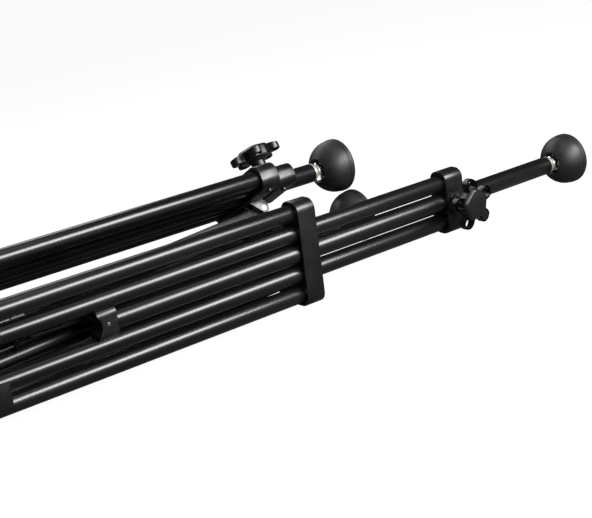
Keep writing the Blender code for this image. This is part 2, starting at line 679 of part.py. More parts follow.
def make_leg_meshes():
    upper_start = YOKE_START + SOCKET_FLOOR + GAP
    upper_end = UPPER_LENGTH + UPPER_COLLAR_LENGTH - SOCKET_FLOOR - GAP
    middle_end = LOWER_COLLAR_LENGTH - SOCKET_FLOOR - GAP
    return {
        "axle": axle_mesh(),
        "yoke": yoke_mesh(),
        "upper_left": tube(UPPER_TUBE_RADIUS, upper_start, upper_end, y=-UPPER_TUBE_Y),
        "upper_right": tube(UPPER_TUBE_RADIUS, upper_start, upper_end, y=UPPER_TUBE_Y),
        "upper_collar": upper_collar_mesh(),
        "bridge": bridge_mesh(),
        "middle_left": tube(MIDDLE_TUBE_RADIUS, -MIDDLE_REACH, middle_end, y=-MIDDLE_TUBE_Y),
        "middle_right": tube(MIDDLE_TUBE_RADIUS, -MIDDLE_REACH, middle_end, y=MIDDLE_TUBE_Y),
        "lower_collar": lower_collar_mesh(),
        "knob": lock_knob_mesh(),
        "lower_tube": tube(LOWER_TUBE_RADIUS, -LOWER_REACH, 0),
        "guide": guide_mesh(),
        "spike": spike_mesh(),
        "pad": foot_pad_mesh(),
        "arm": arm_mesh(),
    }


def make_hub(tripod):
    """Three tabs in the legs' planes, which meet on the tripod's axis."""
    half, length = HUB_TAB_HALF_THICKNESS, HUB_TAB_HALF_LENGTH
    end = HUB_PIVOT_RADIUS + ARM_HALF_DEPTH - HUB_TAB_SHORT
    tabs = []
    for azimuth in LEG_AZIMUTHS:
        tab = block((-length, -half, 0), (length, half, end))
        tabs.append(moved(tab, Matrix.Rotation(radians(90 - azimuth), 4, "X")))
    reach = length + HUB_CORE_STAND_OUT
    core = rod(HUB_CORE_RADIUS, -reach, reach)
    part("spreader_hub", fused(core, *tabs), casting, tripod, (HUB_X, 0, 0))


# ---------------------------------------------------------------- shoulder and head


def make_shoulder(head_frame):
    """The crown casting: a bowl for the levelling ball and three pairs of hinge ears."""
    low, high = SHOULDER_DISC
    outer = BOWL_RADIUS + BOWL_WALL
    open_inside = -degrees(acos(BOWL_OPENING / BOWL_RADIUS))
    open_outside = -degrees(acos(BOWL_OPENING / outer))
    edge = SHOULDER_EDGE
    skirt_top = -degrees(acos((SKIRT_INNER_RADIUS - edge) / outer))
    profile = [
        (SHOULDER_RIM_RADIUS, 0),
        (SHOULDER_RIM_RADIUS + edge, -edge),
        (SHOULDER_RIM_RADIUS + SHOULDER_FLARE[0], high + SHOULDER_FLARE[1]),
        (SHOULDER_DISC_RADIUS - edge, high + edge),
        (SHOULDER_DISC_RADIUS, high),
        (SHOULDER_DISC_RADIUS, low + edge),
        (SHOULDER_DISC_RADIUS - edge, low),
        (SKIRT_INNER_RADIUS, low),
        *arc(outer, skirt_top, open_outside, 3),
        *arc(BOWL_RADIUS, open_inside, 0, 5),
    ]
    ears = []
    for azimuth in LEG_AZIMUTHS:
        turn = Matrix.Rotation(radians(azimuth - 90), 4, "Z")
        for side in BOTH_SIDES:
            left, right = sorted((side * EAR_INNER, side * EAR_OUTER))
            half = EAR_RADIUS - 2 * GAP
            web = block(
                (HINGE_RADIUS - half, left + GAP, -BALL_TO_HINGE),
                (HINGE_RADIUS + half, right - GAP, low + EAR_ROOT),
            )
            eye = rod(EAR_RADIUS, left, right, "y", (HINGE_RADIUS, -BALL_TO_HINGE))
            ears += [moved(web, turn), moved(eye, turn)]
    holes = []
    for azimuth in LEG_AZIMUTHS:
        reach = EAR_OUTER + PAST
        hole = rod(AXLE_RADIUS + GAP, -reach, reach, "y", (HINGE_RADIUS, -BALL_TO_HINGE), sides=SIDES_OF_A_PIN)
        holes.append(moved(hole, Matrix.Rotation(radians(azimuth - 90), 4, "Z")))
    casting_mesh = fused(turned(profile, closed=True, steps=SHOULDER_STEPS), *ears)
    part("shoulder", carved(casting_mesh, *holes), casting, head_frame)


def make_half_ball(level):
    ball = BOWL_RADIUS - BALL_GAP
    low, high = BALL_FLANGE
    bottom = -degrees(acos(sqrt(ball**2 - BALL_FLOOR**2) / ball))
    top = degrees(atan2(low, sqrt(ball**2 - low**2)))
    profile = [
        (0, high + PAN_SPIGOT_HEIGHT),
        (PAN_SPIGOT_RADIUS, high + PAN_SPIGOT_HEIGHT),
        (PAN_SPIGOT_RADIUS, high),
        (BALL_FLANGE_RADIUS - BALL_FLANGE_EDGE, high),
        (BALL_FLANGE_RADIUS, high - BALL_FLANGE_EDGE),
        (BALL_FLANGE_RADIUS, low),
        *arc(ball, top, bottom, 6),
        (CLAMP_STUD_RADIUS, BALL_FLOOR),
        (CLAMP_STUD_RADIUS, CLAMP_STUD_END),
        (0, CLAMP_STUD_END),
    ]
    part("half_ball", turned(profile), aluminium, level)


def make_clamp_knob(level):
    """The spherical washer and grip that pull the half ball down into the bowl."""
    seat = BOWL_RADIUS + BOWL_WALL + BALL_GAP
    bore = CLAMP_STUD_RADIUS + GAP
    rim = -degrees(acos(CLAMP_CUP_RADIUS / seat))
    low, high = CLAMP_GRIP
    rim_height = seat * sin(radians(rim))
    cup = turned(
        [
            *arc(seat, -90, rim, 6),
            (CLAMP_CUP_RADIUS, rim_height - CLAMP_CUP_SKIRT),
            (CLAMP_NECK_RADIUS, high + CLAMP_NECK_LENGTH),
            (CLAMP_NECK_RADIUS, high - CLAMP_NECK_ROOT),
            (0, high - CLAMP_NECK_ROOT),
        ]
    )
    grip = star(CLAMP_GRIP_RADIUS, CLAMP_GRIP_WAIST, low, high, lobes=CLAMP_LOBES, points_a_lobe=6)
    thread = rod(bore, low - PAST, 0, "z", sides=TURNED_STEPS)
    part("bowl_clamp_knob", carved(fused(cup, grip), thread), plastic, level)


def make_pan_body(pan):
    """The pan drum, its neck, and the cross drum that holds the tilt damping."""
    low = BALL_FLANGE[1] + GAP
    radius = PAN_DRUM_RADIUS
    height, slope, width, depth = PAN_GROOVE
    groove = low + height
    drum = turned(
        [
            (0, PAN_DRUM_TOP),
            (radius - PAN_DRUM_CHAMFER, PAN_DRUM_TOP),
            (radius, PAN_DRUM_TOP - PAN_DRUM_CHAMFER),
            (radius, groove + slope + width),
            (radius - depth, groove + width),
            (radius - depth, groove + slope),
            (radius, groove),
            (radius, low),
            (0, low),
        ],
        steps=PAN_DRUM_STEPS,
    )
    along, across = PAN_NECK
    neck = block((-along, -across, PAN_DRUM_TOP - PAST), (along, across, TILT_HEIGHT), PAN_NECK_ROUNDING, "z")
    cross = rod(
        TILT_DRUM_RADIUS, -TILT_DRUM_HALF_WIDTH, TILT_DRUM_HALF_WIDTH, "y", (0, TILT_HEIGHT), sides=CROSS_DRUM_SIDES
    )
    reach = TILT_DRUM_HALF_WIDTH + TILT_SPIGOT_LENGTH
    spigots = rod(TILT_SPIGOT_RADIUS, -reach, reach, "y", (0, TILT_HEIGHT))
    bore = rod(PAN_SPIGOT_RADIUS + GAP, 0, BALL_FLANGE[1] + PAN_SPIGOT_HEIGHT + GAP, "z", sides=TURNED_STEPS)
    floor = PAN_PIN_LENGTH + 2 * PAST - radius
    pin_hole = rod(LEVER_PIN_RADIUS + GAP, -radius - PAST, floor, "y", (0, PAN_LEVER_HEIGHT), sides=SIDES_OF_A_PIN)
    part("pan_body", carved(fused(drum, neck, cross, spigots), bore, pin_hole), casting, pan)
    foot = PAN_DRUM_TOP + GAP
    part("bubble_level", rod(LEVEL_RADIUS, foot, foot + LEVEL_HEIGHT, "z", (LEVEL_X, 0)), glass, pan)


def make_tilt_cradle(tilt):
    """Two cheeks around the cross drum, the platform with its plate rails, and the pan bar's rosette."""
    parts = []
    inner = RAIL_LIP[0]
    plate_side = PLATE_FLANGE_HALF_WIDTH + PLATE_SIDE_ROOM
    rail_top = PLATFORM[1] + RAIL_HEIGHT
    length = PLATFORM_HALF_LENGTH
    for side in BOTH_SIDES:
        low, high = sorted((side * CHEEK_INNER, side * CHEEK_OUTER))
        parts.append(rod(CHEEK_RADIUS, low, high, "y", sides=CROSS_DRUM_SIDES))
        parts.append(block((-CHEEK_WEB, low, 0), (CHEEK_WEB, high, PLATFORM[0] + PAST)))
        wall = sorted((side * plate_side, side * RAIL_OUTER))
        lip = sorted((side * inner, side * RAIL_OUTER))
        parts.append(block((-length, wall[0], PLATFORM[1] - PAST), (length, wall[1], rail_top)))
        parts.append(block((-length, lip[0], rail_top - RAIL_LIP[1]), (length, lip[1], rail_top)))
    low, high = PLATFORM
    platform = block((-length, -CHEEK_OUTER, low), (length, CHEEK_OUTER, high), PLATFORM_ROUNDING, "z")
    place = (ROSETTE_X, ROSETTE_HEIGHT)
    rosette = rod(ROSETTE_RADIUS, CHEEK_INNER, CHEEK_OUTER + ROSETTE_STAND_OUT, "y", place)
    bracket = block(
        (ROSETTE_X, CHEEK_INNER, ROSETTE_HEIGHT - ROSETTE_RADIUS + ROSETTE_STAND_OUT),
        (BRACKET_END_X, CHEEK_OUTER, PLATFORM[0] + PAST),
    )
    spigot_end = TILT_DRUM_HALF_WIDTH + TILT_SPIGOT_LENGTH + GAP
    spigots = rod(TILT_SPIGOT_RADIUS + GAP, -spigot_end, spigot_end, "y")
    stud_hole = rod(BAR_STUD_RADIUS + GAP, CHEEK_INNER - PAST, 2 * CHEEK_OUTER, "y", place, sides=SIDES_OF_A_PIN)
    pin = LEVER_PIN_RADIUS + GAP
    face = -CHEEK_OUTER
    place = (PLATE_LEVER_X, PLATE_LEVER_HEIGHT)
    lever_hole = rod(pin, face - PAST, face + PLATE_PIN_LENGTH + PAST, "y", place, sides=SIDES_OF_A_PIN)
    tilt_hole = rod(pin, face - PAST, face + TILT_PIN_LENGTH + GAP, "y", sides=SIDES_OF_A_PIN)
    mesh = carved(fused(platform, *parts, rosette, bracket), spigots, stud_hole, lever_hole, tilt_hole)
    part("tilt_cradle", mesh, casting, tilt)


def make_camera_plate(tilt):
    base = PLATFORM[1] + PLATE_LIFT
    flange_top = base + PLATE_FLANGE_THICKNESS
    top = base + PLATE_THICKNESS
    length = PLATE_HALF_LENGTH
    flange = block((-length, -PLATE_FLANGE_HALF_WIDTH, base), (length, PLATE_FLANGE_HALF_WIDTH, flange_top))
    body = block((-length, -PLATE_HALF_WIDTH, base + PAST), (length, PLATE_HALF_WIDTH, top))
    head_room = SCREW_HEAD_THICKNESS + 2 * GAP
    counterbore = rod(SCREW_HEAD_RADIUS + GAP, base - PAST, base + head_room, "z", (SCREW_X, 0))
    hole = rod(SCREW_RADIUS + GAP, base - PAST, top + PAST, "z", (SCREW_X, 0), sides=SIDES_OF_A_PIN)
    plate = frame("plate_slide", tilt)
    part("camera_plate", carved(fused(flange, body), counterbore, hole), aluminium, plate)
    head = rod(SCREW_HEAD_RADIUS, GAP, GAP + SCREW_HEAD_THICKNESS, "z")
    shank = rod(SCREW_RADIUS, GAP + PAST, PLATE_THICKNESS + SCREW_STAND_OUT, "z", sides=SIDES_OF_A_PIN)
    part("camera_screw", fused(head, shank), steel, plate, (SCREW_X, 0, base))


def lever_mesh(reach, pin_length):
    """A lock lever on the head's left side: its pin, boss and arm, with the arm along x."""
    boss = rod(LEVER_BOSS_RADIUS, -LEVER_BOSS_LENGTH, -GAP, "y")
    pin = rod(LEVER_PIN_RADIUS, -PAST, pin_length, "y", sides=SIDES_OF_A_PIN)
    half = LEVER_HALF_WIDTH
    low = -LEVER_BOSS_LENGTH
    arm = block((0, low, -half), (reach, low + LEVER_THICKNESS, half), LEVER_ROUNDING, "y")
    return fused(boss, pin, arm)


def make_levers(pan, tilt):
    side = -PAN_DRUM_RADIUS
    part("pan_lock_lever", lever_mesh(PAN_LEVER_REACH, PAN_PIN_LENGTH), plastic, pan, (0, side, PAN_LEVER_HEIGHT))
    down = (0, pi / 2, 0)
    part("tilt_lock_lever", lever_mesh(TILT_LEVER_REACH, TILT_PIN_LENGTH), plastic, tilt, (0, -CHEEK_OUTER, 0), down)
    place = (PLATE_LEVER_X, -CHEEK_OUTER, PLATE_LEVER_HEIGHT)
    part("plate_lock_lever", lever_mesh(PLATE_LEVER_REACH, PLATE_PIN_LENGTH), plastic, tilt, place)


def make_pan_bar(tilt):
    """The bar, its foam grip and the clamp knob, which turn about the rosette."""
    start = CHEEK_OUTER + ROSETTE_STAND_OUT + GAP
    middle = start + BAR_EYE_THICKNESS / 2
    end = start + BAR_EYE_THICKNESS
    rosette = frame("rosette_line", tilt, (ROSETTE_X, 0, ROSETTE_HEIGHT))
    bar = frame("pan_bar_line", rosette, rotation=(0, pi - radians(BAR_DROOP), 0))
    eye = rod(ROSETTE_RADIUS, start, end, "y")
    shaft = rod(BAR_RADIUS, BAR_START, BAR_LENGTH, centre=(middle, 0))
    hole = rod(BAR_STUD_RADIUS + GAP, start - PAST, end + PAST, "y", sides=SIDES_OF_A_PIN)
    part("pan_bar", carved(fused(eye, shaft), hole), aluminium, bar)

    bore = BAR_RADIUS + GAP
    grip = turned(
        [
            (0, GRIP_END),
            (GRIP_RADIUS - GRIP_EDGE, GRIP_END),
            (GRIP_RADIUS, GRIP_END - GRIP_EDGE),
            (GRIP_RADIUS, GRIP_START + GRIP_EDGE),
            (GRIP_RADIUS - GRIP_EDGE, GRIP_START),
            (bore, GRIP_START),
            (bore, BAR_LENGTH + GAP),
            (0, BAR_LENGTH + GAP),
        ]
    )
    part("pan_bar_grip", grip, rubber, bar, (0, middle, 0), (0, pi / 2, 0))

    foot = end + GAP
    lobes = star(BAR_KNOB_RADIUS, BAR_KNOB_WAIST, foot, foot + BAR_KNOB_THICKNESS)
    stud = rod(BAR_STUD_RADIUS, CHEEK_INNER + ROSETTE_STAND_OUT, foot + PAST, "z", sides=SIDES_OF_A_PIN)
    part("pan_bar_knob", fused(lobes, stud), plastic, rosette, rotation=(-pi / 2, 0, 0))


def make_head(tripod):
    crown = frame("crown", tripod, (BALL_X, 0, 0), (0, -pi / 2, 0))
    make_shoulder(crown)
    level = frame("level_ball", crown)
    make_half_ball(level)
    make_clamp_knob(level)
    pan = frame("pan_line", level, rotation=(0, 0, radians(PAN_REST_TURN)))
    make_pan_body(pan)
    tilt = frame("tilt_line", pan, (0, 0, TILT_HEIGHT))
    make_tilt_cradle(tilt)
    make_camera_plate(tilt)
    make_levers(pan, tilt)
    make_pan_bar(tilt)


# ---------------------------------------------------------------- lying on the floor


def points_of(obj):
    mesh = obj.data
    points = np.empty(len(mesh.vertices) * 3)
    mesh.vertices.foreach_get("co", points)
    world = np.array(obj.matrix_world)
    return points.reshape(-1, 3) @ world[:3, :3].T + world[:3, 3]


def lay_down(tripod):
    """Turns the tripod onto the three pieces it lies on, then stands the origin under its middle, on the floor."""
    touching = [bpy.data.objects[name] for name in ("leg_3_yoke", "leg_3_lock_knob", "leg_1_upper_collar")]
    turn = Matrix.Rotation(radians(10), 4, "X")  # a first guess, which the rounds below settle
    for _ in range(12):
        tripod.matrix_world = turn
        bpy.context.view_layer.update()
        lowest = [Vector(min(points_of(obj), key=lambda point: point[2])) for obj in touching]
        up = (lowest[1] - lowest[0]).cross(lowest[2] - lowest[0]).normalized()
        if up.z < 0:
            up.negate()
        turn = up.rotation_difference(Vector((0, 0, 1))).to_matrix().to_4x4() @ turn
        heading = atan2((turn @ Vector((1, 0, 0))).y, (turn @ Vector((1, 0, 0))).x)
        turn = Matrix.Rotation(-heading, 4, "Z") @ turn
    tripod.matrix_world = turn
    bpy.context.view_layer.update()
    cloud = np.concatenate([points_of(obj) for obj in pieces.objects if obj.type == "MESH"])
    low, high = cloud.min(axis=0), cloud.max(axis=0)
    centre = Vector(((low[0] + high[0]) / 2, (low[1] + high[1]) / 2, low[2]))
    tripod.matrix_world = Matrix.Translation(-centre) @ turn


for old in list(bpy.data.objects):
    bpy.data.objects.remove(old)

pieces = bpy.data.collections.new("video_tripod")
bench = bpy.data.collections.new("bench")
bpy.context.scene.collection.children.link(pieces)
bpy.context.scene.collection.children.link(bench)

tube_finish = finish("black_tube", (0.012, 0.012, 0.013), 0.28, 0.0)
casting = finish("black_casting", (0.016, 0.016, 0.017), 0.42, 0.0)
plastic = finish("black_plastic", (0.018, 0.018, 0.019), 0.38, 0.0)
rubber = finish("black_rubber", (0.030, 0.031, 0.032), 0.75, 0.0)
steel = finish("plated_steel", (0.55, 0.55, 0.54), 0.30, 1.0)
aluminium = finish("anodised_aluminium", (0.30, 0.30, 0.31), 0.35, 1.0)
glass = finish("level_vial", (0.45, 0.60, 0.10), 0.10, 0.0)

tripod_frame = frame("tripod", None)
leg_meshes = make_leg_meshes()
for number in range(len(LEG_AZIMUTHS)):
    make_leg(number, tripod_frame)
make_hub(tripod_frame)
make_head(tripod_frame)
lay_down(tripod_frame)
bpy.data.collections.remove(bench)
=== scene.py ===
"""Looks of a folded video tripod with a fluid head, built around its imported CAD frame.

Metres, +Z up. A leg's own frame has its origin on its hinge axis, x along the leg to the foot, y
across it and z outwards from the tripod's axis. The head's frames have z up the tripod's axis and y
along the tilt axis. Each piece is modelled at the origin of its own frame and then laid in place.
"""

import json
from math import acos, atan2, cos, degrees, pi, radians, sin, sqrt

import bmesh
import bpy
import numpy as np
from mathutils import Matrix, Vector


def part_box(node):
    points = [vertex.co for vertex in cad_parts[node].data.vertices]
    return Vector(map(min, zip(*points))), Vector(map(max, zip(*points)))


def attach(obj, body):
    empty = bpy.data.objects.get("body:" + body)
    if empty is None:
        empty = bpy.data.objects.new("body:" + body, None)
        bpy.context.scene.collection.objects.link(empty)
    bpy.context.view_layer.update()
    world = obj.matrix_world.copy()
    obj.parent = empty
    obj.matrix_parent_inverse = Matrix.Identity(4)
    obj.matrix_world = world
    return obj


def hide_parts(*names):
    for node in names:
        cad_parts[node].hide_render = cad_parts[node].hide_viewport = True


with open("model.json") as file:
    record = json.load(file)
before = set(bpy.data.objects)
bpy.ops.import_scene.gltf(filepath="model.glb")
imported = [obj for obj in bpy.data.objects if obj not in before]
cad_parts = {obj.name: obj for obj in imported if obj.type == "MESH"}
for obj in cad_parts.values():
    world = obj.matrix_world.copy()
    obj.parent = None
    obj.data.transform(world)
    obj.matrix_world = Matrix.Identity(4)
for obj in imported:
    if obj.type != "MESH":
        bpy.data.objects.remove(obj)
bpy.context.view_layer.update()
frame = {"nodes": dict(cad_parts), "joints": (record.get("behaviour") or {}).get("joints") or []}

TINY = 1e-5
PAST = 0.001  # how far a cutter reaches past the face it opens
PAST_ALL = 0.03  # half length of a cutter that goes right through
ROUND = 64  # facets of a tube or a turned piece
FINE = 96

CAMERA_PLACE = (-0.60368, -1.04502, 0.4005)
CAMERA_TURN = (75.014, 11.561, -39.408)
CAMERA_LENS = 84.41

# ---------------------------------------------------------------- places in the frame

joints = {joint["name"]: joint for joint in frame["joints"]}
LEGS = (1, 2, 3)


def place_of(origin, x, z):
    """A place with its origin, its x and its z; y completes it."""
    x = Vector(x).normalized()
    y = Vector(z).cross(x).normalized()
    z = x.cross(y)
    matrix = Matrix((x, y, z)).transposed().to_4x4()
    matrix.translation = Vector(origin)
    return matrix


def extent(node, place):
    """Lowest and highest corner of a CAD node in a place's own axes."""
    mesh = frame["nodes"][node].data
    points = np.empty(len(mesh.vertices) * 3, np.float32)
    mesh.vertices.foreach_get("co", points)
    inverse = np.array(place.inverted())
    points = points.reshape(-1, 3) @ inverse[:3, :3].T + inverse[:3, 3]
    return Vector(points.min(0).tolist()), Vector(points.max(0).tolist())


def leg_place(leg):
    spread = joints[f"leg_{leg}_spread"]
    along = joints[f"leg_{leg}_middle_slide"]["axis"]
    outwards = joints[f"leg_{leg}_knob_turn"]["axis"]
    return place_of(spread["pos_m"], along, outwards)


leg_places = {leg: leg_place(leg) for leg in LEGS}


def shifted(place, x=0.0, y=0.0, z=0.0):
    return place @ Matrix.Translation((x, y, z))


# ---------------------------------------------------------------- the bench


def put_down():
    if bpy.context.mode != "OBJECT":
        bpy.ops.object.mode_set(mode="OBJECT")
    bpy.ops.object.select_all(action="DESELECT")


def take(obj):
    put_down()
    obj.select_set(True)
    bpy.context.view_layer.objects.active = obj
    return obj


class Edit:
    """One object in edit mode, where faces and edges are picked by place or normal."""

    def __init__(self, obj):
        self.obj = obj

    def __enter__(self):
        take(self.obj)
        bpy.ops.object.mode_set(mode="EDIT")
        bpy.ops.mesh.select_all(action="DESELECT")
        return self

    def __exit__(self, *_):
        bpy.ops.object.mode_set(mode="OBJECT")

    def faces(self, test):
        """Selects the faces whose centre and normal pass the test."""
        bpy.ops.mesh.select_mode(type="FACE")
        bpy.ops.mesh.select_all(action="DESELECT")
        shape = bmesh.from_edit_mesh(self.obj.data)
        for face in shape.faces:
            if test(face.calc_center_median(), face.normal):
                face.select_set(True)
        bmesh.update_edit_mesh(self.obj.data)

    def edges(self, test):
        """Selects the edges whose two ends pass the test."""
        bpy.ops.mesh.select_mode(type="EDGE")
        bpy.ops.mesh.select_all(action="DESELECT")
        shape = bmesh.from_edit_mesh(self.obj.data)
        for edge in shape.edges:
            if test(edge.verts[0].co, edge.verts[1].co):
                edge.select_set(True)
        bmesh.update_edit_mesh(self.obj.data)


def block(low, high, corner=0.0, along="x", segments=8):
    """A box between two corners, with its edges along one axis rounded."""
    low, high = Vector(low), Vector(high)
    put_down()
    bpy.ops.mesh.primitive_cube_add(size=1, location=(low + high) / 2, scale=high - low)
    obj = bpy.context.object
    bpy.ops.object.transform_apply(location=True, rotation=True, scale=True)
    if corner:
        axis = "xyz".index(along)
        with Edit(obj) as edit:
            edit.edges(lambda a, b: abs((b - a).normalized()[axis]) > 0.99)
            bpy.ops.mesh.bevel(offset=corner, segments=segments, affect="EDGES", clamp_overlap=True)
    return obj


TURNS = {"x": (0, pi / 2, 0), "y": (-pi / 2, 0, 0), "z": (0, 0, 0)}


def rod(radius, start, end, axis="x", at=(0, 0), sides=ROUND, tip=None):
    """A round bar along an axis; at is its place on the other two axes, in their order."""
    middle = (start + end) / 2
    a, b = at
    location = {"x": (middle, a, b), "y": (a, middle, b), "z": (a, b, middle)}[axis]
    put_down()
    bpy.ops.mesh.primitive_cone_add(
        vertices=sides,
        radius1=radius,
        radius2=radius if tip is None else tip,
        depth=end - start,
        location=location,
        rotation=TURNS[axis],
    )
    bpy.ops.object.transform_apply(location=True, rotation=True, scale=True)
    return bpy.context.object


def lathe(profile, steps=FINE, axis="z"):
    """A profile of (radius, height) points, spun round the axis."""
    put_down()
    bpy.ops.mesh.primitive_plane_add(size=0.001)
    obj = bpy.context.object
    bpy.ops.object.mode_set(mode="EDIT")
    bpy.ops.mesh.select_mode(type="VERT")
    bpy.ops.mesh.select_all(action="SELECT")
    bpy.ops.mesh.merge(type="CENTER")
    here = Vector((0, 0, 0))
    for radius, height in profile[:1]:
        bpy.ops.transform.translate(value=(radius, 0, height))
        here = Vector((radius, 0, height))
    for radius, height in profile[1:]:
        there = Vector((radius, 0, height))
        bpy.ops.mesh.extrude_region_move(TRANSFORM_OT_translate={"value": there - here})
        here = there
    bpy.ops.mesh.select_all(action="SELECT")
    bpy.ops.mesh.spin(steps=steps, angle=2 * pi, center=(0, 0, 0), axis=(0, 0, 1))
    bpy.ops.mesh.select_all(action="SELECT")
    bpy.ops.mesh.remove_doubles(threshold=TINY / 5)
    bpy.ops.mesh.normals_make_consistent(inside=False)
    bpy.ops.object.mode_set(mode="OBJECT")
    if axis != "z":
        obj.rotation_euler = TURNS[axis]
        bpy.ops.object.transform_apply(location=True, rotation=True, scale=True)
    return obj


def arc(radius, start, end, points, centre=(0, 0)):
    """Points on a circle between two angles in degrees."""
    angles = [radians(start + (end - start) * i / (points - 1)) for i in range(points)]
    return [(centre[0] + radius * cos(a), centre[1] + radius * sin(a)) for a in angles]


def plate(outlines, low, high, edge=0.0, rounds=3):
    """A flat piece with rounded edges: the first outline is its rim and the others are holes."""
    data = bpy.data.curves.new("outline", "CURVE")
    data.dimensions = "2D"
    data.fill_mode = "BOTH"
    for outline in outlines:
        spline = data.splines.new("POLY")
        spline.points.add(len(outline) - 1)
        for point, (x, y) in zip(spline.points, outline):
            point.co = (x, y, 0, 1)
        spline.use_cyclic_u = True
    data.extrude = (high - low) / 2 - edge
    data.bevel_depth = edge
    data.bevel_resolution = rounds
    data.offset = -edge
    obj = bpy.data.objects.new("outline", data)
    bpy.context.collection.objects.link(obj)
    take(obj)
    bpy.ops.object.convert(target="MESH")
    obj = bpy.context.object
    obj.location.z = (low + high) / 2
    bpy.ops.object.transform_apply(location=True, rotation=True, scale=True)
    with Edit(obj):
        bpy.ops.mesh.select_all(action="SELECT")
        bpy.ops.mesh.remove_doubles(threshold=TINY)
        bpy.ops.mesh.normals_make_consistent(inside=False)
    return obj


def boolean(base, others, operation):
    for other in others:
        take(base)
        bpy.ops.object.modifier_add(type="BOOLEAN")
        modifier = base.modifiers[-1]
        modifier.operation = operation
        modifier.object = other
        bpy.ops.object.modifier_apply(modifier=modifier.name)
        bpy.data.objects.remove(other)
    return base


def fused(base, *others):
    return boolean(base, others, "UNION")


def carved(base, *others):
    return boolean(base, others, "DIFFERENCE")


def together(base, *others):
    """Shapes that touch, kept as loose shells of one piece."""
    put_down()
    for obj in (base, *others):
        obj.select_set(True)
    bpy.context.view_layer.objects.active = base
    bpy.ops.object.join()
    return bpy.context.object


def softened(obj, width=0.0006, segments=2, angle=32):
    """Sharp edges broken by a small round."""
    with Edit(obj):
        bpy.ops.mesh.select_all(action="SELECT")
        bpy.ops.mesh.remove_doubles(threshold=TINY)
        bpy.ops.mesh.dissolve_limited(angle_limit=radians(0.5))
    take(obj)
    bpy.ops.object.modifier_add(type="BEVEL")
    bevel = obj.modifiers[-1]
    bevel.width = width
    bevel.segments = segments
    bevel.limit_method = "ANGLE"
    bevel.angle_limit = radians(angle)
    bevel.use_clamp_overlap = True
    bpy.ops.object.modifier_apply(modifier=bevel.name)
    with Edit(obj):
        bpy.ops.mesh.select_all(action="SELECT")
        bpy.ops.mesh.remove_doubles(threshold=TINY / 5)
    return obj


def copy_of(obj):
    twin = obj.copy()
    twin.data = obj.data.copy()
    bpy.context.collection.objects.link(twin)
    return twin


def moved(obj, x=0.0, y=0.0, z=0.0, turn=0.0, axis="Z"):
    """The object turned about an axis through the origin, then shifted."""
    matrix = Matrix.Translation((x, y, z)) @ Matrix.Rotation(radians(turn), 4, axis)
    take(obj)
    obj.matrix_world = matrix @ obj.matrix_world
    bpy.ops.object.transform_apply(location=True, rotation=True, scale=True)
    return obj


def settle(obj, name, place, body, material, slot, *nodes, smooth=32):
    """Lays a finished piece in its place, with its material, its body and the nodes it stands for."""
    take(obj)
    obj.matrix_world = place @ obj.matrix_world
    bpy.ops.object.transform_apply(location=True, rotation=True, scale=True)
    bpy.ops.object.shade_smooth_by_angle(angle=radians(smooth))
    obj.name = name
    obj.data.name = name
    obj.data.materials.clear()
    obj.data.materials.append(material)
    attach(obj, body)
    if nodes:
        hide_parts(*nodes)
    return obj


def on_each_leg(obj, name, part_of_leg, material, slot, spot, *nodes, smooth=32):
    """One copy of a piece for each leg; spot gives its place on that leg."""
    for leg in LEGS:
        twin = copy_of(obj)
        stands_for = [f"leg_{leg}_{node}" for node in nodes]
        body = f"leg_{leg}_{part_of_leg}" if part_of_leg != "crown" else "crown"
        settle(twin, f"leg_{leg}_{name}", spot(leg), body, material, slot, *stands_for, smooth=smooth)
    bpy.data.objects.remove(obj)


# ---------------------------------------------------------------- surfaces


class Signal:
    """A node's output, whose arithmetic adds Math nodes."""

    def __init__(self, surface, socket):
        self.surface = surface
        self.socket = socket

    def maths(self, operation, first, second=0.0):
        return self.surface.node("ShaderNodeMath", {"operation": operation}, {0: first, 1: second})

    def __add__(self, other):
        return self.maths("ADD", self, other)

    def __radd__(self, other):
        return self.maths("ADD", other, self)

    def __mul__(self, other):
        return self.maths("MULTIPLY", self, other)

    def __rmul__(self, other):
        return self.maths("MULTIPLY", other, self)

    def ramp(self, low, high):
        """0 below low, 1 above high, and smooth between."""
        values = {"Value": self, "From Min": low, "From Max": high}
        return self.surface.node("ShaderNodeMapRange", {"interpolation_type": "SMOOTHSTEP"}, values)


